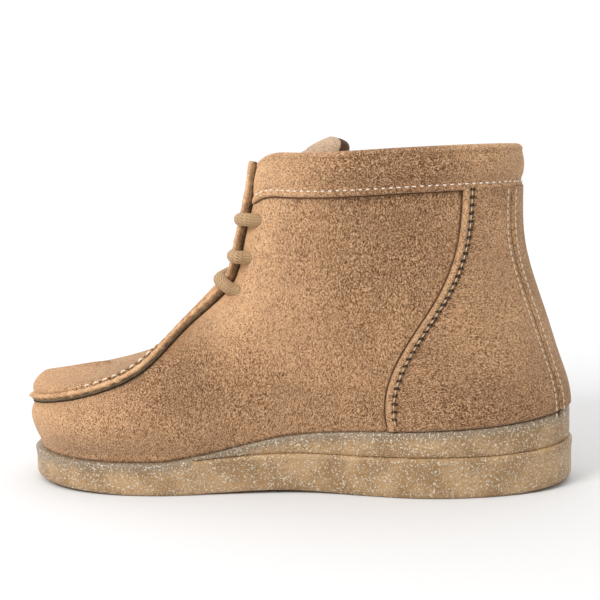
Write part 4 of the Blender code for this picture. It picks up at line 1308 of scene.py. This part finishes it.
def bar_points(row, start):
    """Points over the lacing edges at one row, from the start side's hole to the other's."""
    up = np.array([0, 0, ROW_BOW[row] * LACE])
    route = []
    for side in (start, -start):
        leg = [
            eyelet(side, row, -0.0030), lip_stop(side, row, 0.22, 0.0004),
            lip_stop(side, row, 0.42, LACE / 2 + 0.0002) + up * 0.10,
            lip_stop(side, row, 0.72, LACE / 2 + 0.0006) + up * 0.45,
            lip_stop(side, row, 1.05, LACE / 2 - 0.0014) + up * 0.80,
        ]
        route.append(leg if side == start else leg[::-1])
    middle = (route[0][-1] + route[1][0]) / 2 + np.array([-LACE / 4, 0, 0.25 * up[2]])
    return route[0] + [middle] + route[1]


def hidden_run(side, row_from, row_to):
    """Points behind the flap from one hole up to the next."""
    first, second = eyelet(side, row_from, -0.0075), eyelet(side, row_to, -0.0075)
    return [first, first * 0.5 + second * 0.5, second]


route = bar_points(0, -1) + hidden_run(1, 0, 1) + bar_points(1, 1) + hidden_run(-1, 1, 2)
route += bar_points(2, -1)
route = np.array(route)
knots = np.concatenate([[0], np.cumsum(np.linalg.norm(np.diff(route, axis=0), axis=1) ** 0.5)])
dense = spline_weights(knots, np.linspace(0, knots[-1], 1200)) @ route
gone = np.concatenate([[0], np.cumsum(np.linalg.norm(np.diff(dense, axis=0), axis=1))])
LACE_COLUMNS, LACE_SIDES = 1100, 28
at = np.linspace(0, gone[-1], LACE_COLUMNS)
path = np.stack([np.interp(at, gone, dense[:, k]) for k in range(3)], 1)
run = np.gradient(path, axis=0)
run /= np.linalg.norm(run, axis=1, keepdims=True)
side_way = np.empty_like(run)
side_way[0] = np.cross(run[0], (0, 0, 1.0))
for k in range(1, len(run)):
    side_way[k] = side_way[k - 1] - run[k] * (side_way[k - 1] @ run[k])
side_way /= np.linalg.norm(side_way, axis=1, keepdims=True)
other_way = np.cross(run, side_way)
turn = np.linspace(0, 2 * np.pi, LACE_SIDES, endpoint=False)
ribs = np.abs(np.sin(BRAID_RIBS * turn[None, :] + 0.9 * np.sin(2 * np.pi * at[:, None] / BRAID_PITCH * 2)))
weave = 0.5 + 0.5 * np.sin(2 * np.pi * at[:, None] / 0.0016 + 2 * BRAID_RIBS * turn[None, :])
relief = 0.65 * ribs + 0.35 * weave
radius = LACE / 2 * (0.93 + 0.09 * relief)
ring = side_way[:, None] * np.cos(turn)[None, :, None] + other_way[:, None] * np.sin(turn)[None, :, None]
lace_grid = path[:, None] + ring * radius[..., None]


def lace_finish(name):
    """Braided cord: pale strands with dark valleys, from the attribute 'strand'."""
    made, shader, place = start_finish(name, 0.7, 0.2, (1, 0.95, 0.85, 1), 0.3)
    strand = place.node("ShaderNodeAttribute", {"attribute_name": "strand"}, {}, "Fac")
    fibre = place.noise(place, 2600, 2.0)
    colour = (strand * 0.75 + fibre * 0.35).ramp(0.28, 0.78).mix(LACE_DARK, LACE_PALE)
    finish_with(shader, colour, strand * 0.7 + fibre * 0.3, 0.7, 0.0004)
    return made


lace = add_piece(
    "lace_braid", lace_grid, sweep_faces(LACE_COLUMNS, LACE_SIDES), [lace_finish("lace_cord")],
    ("lower_lace_bar", "middle_lace_bar", "upper_lace_bar"), {"strand": relief},
)
print("lace through the holes, mm:", round(float(gone[-1]) * 1000, 1))


# Studio
# A flat floor, grey with painted shade near the boot and white further off, soft lights, and
# the photo's camera: low, on the inner side, turned a little towards the heel, and rolled a little.

FLOOR_HALF = 6.0
floor_mesh = bpy.data.meshes.new("floor")
floor_mesh.from_pydata(
    [(-FLOOR_HALF, -FLOOR_HALF, 0), (FLOOR_HALF, -FLOOR_HALF, 0), (FLOOR_HALF, FLOOR_HALF, 0),
     (-FLOOR_HALF, FLOOR_HALF, 0)], [], [(0, 1, 2, 3)],
)
floor = bpy.data.objects.new("floor", floor_mesh)
bpy.context.scene.collection.objects.link(floor)
floor_painted_light_and_shade, floor_shader, place = start_finish("floor_painted_light_and_shade", 1.0, specular=0.0)
# Painted shade and light on the floor: grey within about 0.2 m of the origin, under and around the boot where its shade
# falls, whitening out to 0.8 m so the far floor matches the bright room.
far = place.node("ShaderNodeVectorMath", {"operation": "LENGTH"}, {0: place}, "Value")
finish_with(floor_shader, far.ramp(0.22, 0.80).mix((0.76, 0.76, 0.76, 1), (1, 1, 1, 1)))
floor_mesh.materials.append(floor_painted_light_and_shade)

# The room: white above and behind the boot, dimmer on the camera's side.
ROOM_TOP = 1.30
ROOM_BEHIND = 1.03
ROOM_FRONT = 0.30
world = bpy.data.worlds.new("studio")
bpy.context.scene.world = world
world.use_nodes = True
room = Channel(world.node_tree)
direction = room.node("ShaderNodeTexCoord", {}, {}, "Generated")
front = room.node("ShaderNodeSeparateXYZ", {}, {"Vector": direction}, "Y").ramp(-0.60, 0.10)
above = room.node("ShaderNodeSeparateXYZ", {}, {"Vector": direction}, "Z").ramp(0.45, 0.75)
level = ROOM_BEHIND + front * (ROOM_FRONT - ROOM_BEHIND)
level = level + above * (ROOM_TOP - level)
background = world.node_tree.nodes["Background"]
background.inputs["Color"].default_value = (1, 1, 1, 1)
world.node_tree.links.new(level.socket, background.inputs["Strength"])


def add_light(name, place, target, size, power, colour=(1, 1, 1)):
    """A square soft light that faces its target."""
    data = bpy.data.lights.new(name, "AREA")
    data.shape = "SQUARE"
    data.size = size
    data.energy = power
    data.color = colour
    lamp = bpy.data.objects.new(name, data)
    bpy.context.scene.collection.objects.link(lamp)
    towards = np.array(target) - np.array(place)
    towards /= np.linalg.norm(towards)
    right = np.cross(towards, (0, 0, 1.0))
    right /= np.linalg.norm(right)
    upward = np.cross(right, towards)
    matrix = np.eye(4)
    matrix[:3, :3] = np.stack([right, upward, -towards], 1)
    matrix[:3, 3] = place
    lamp.matrix_world = Matrix(matrix.tolist())
    return lamp


BOOT_MIDDLE = (0.07, 0.0, 0.07)
add_light("key", (0.75, 0.85, 0.95), BOOT_MIDDLE, 0.5, 11.5)

CAMERA_AZIMUTH = 8.49
CAMERA_PITCH = 7.21
CAMERA_ROLL = -1.19
CAMERA_PIXELS = 1000.0
CAMERA_PLACE = (-0.00907, 0.50722, 0.15547)
PHOTO_SIDE = 600.0
azimuth, pitch, roll = np.radians([CAMERA_AZIMUTH, CAMERA_PITCH, CAMERA_ROLL])
behind = np.array([-np.sin(azimuth) * np.cos(pitch), np.cos(azimuth) * np.cos(pitch), np.sin(pitch)])
right = np.cross(-behind, (0, 0, 1.0))
right /= np.linalg.norm(right)
upward = np.cross(right, -behind)
matrix = np.eye(4)
matrix[:3, 0] = right * np.cos(roll) + upward * np.sin(roll)
matrix[:3, 1] = -right * np.sin(roll) + upward * np.cos(roll)
matrix[:3, 2] = behind
matrix[:3, 3] = CAMERA_PLACE
camera_data = bpy.data.cameras.new("camera")
camera_data.sensor_width = 36.0
camera_data.lens = CAMERA_PIXELS / PHOTO_SIDE * 36.0
camera_data.clip_start = 0.01
camera = bpy.data.objects.new("camera", camera_data)
bpy.context.scene.collection.objects.link(camera)
camera.matrix_world = Matrix(matrix.tolist())
bpy.context.scene.camera = camera
bpy.context.scene.view_settings.view_transform = "Standard"
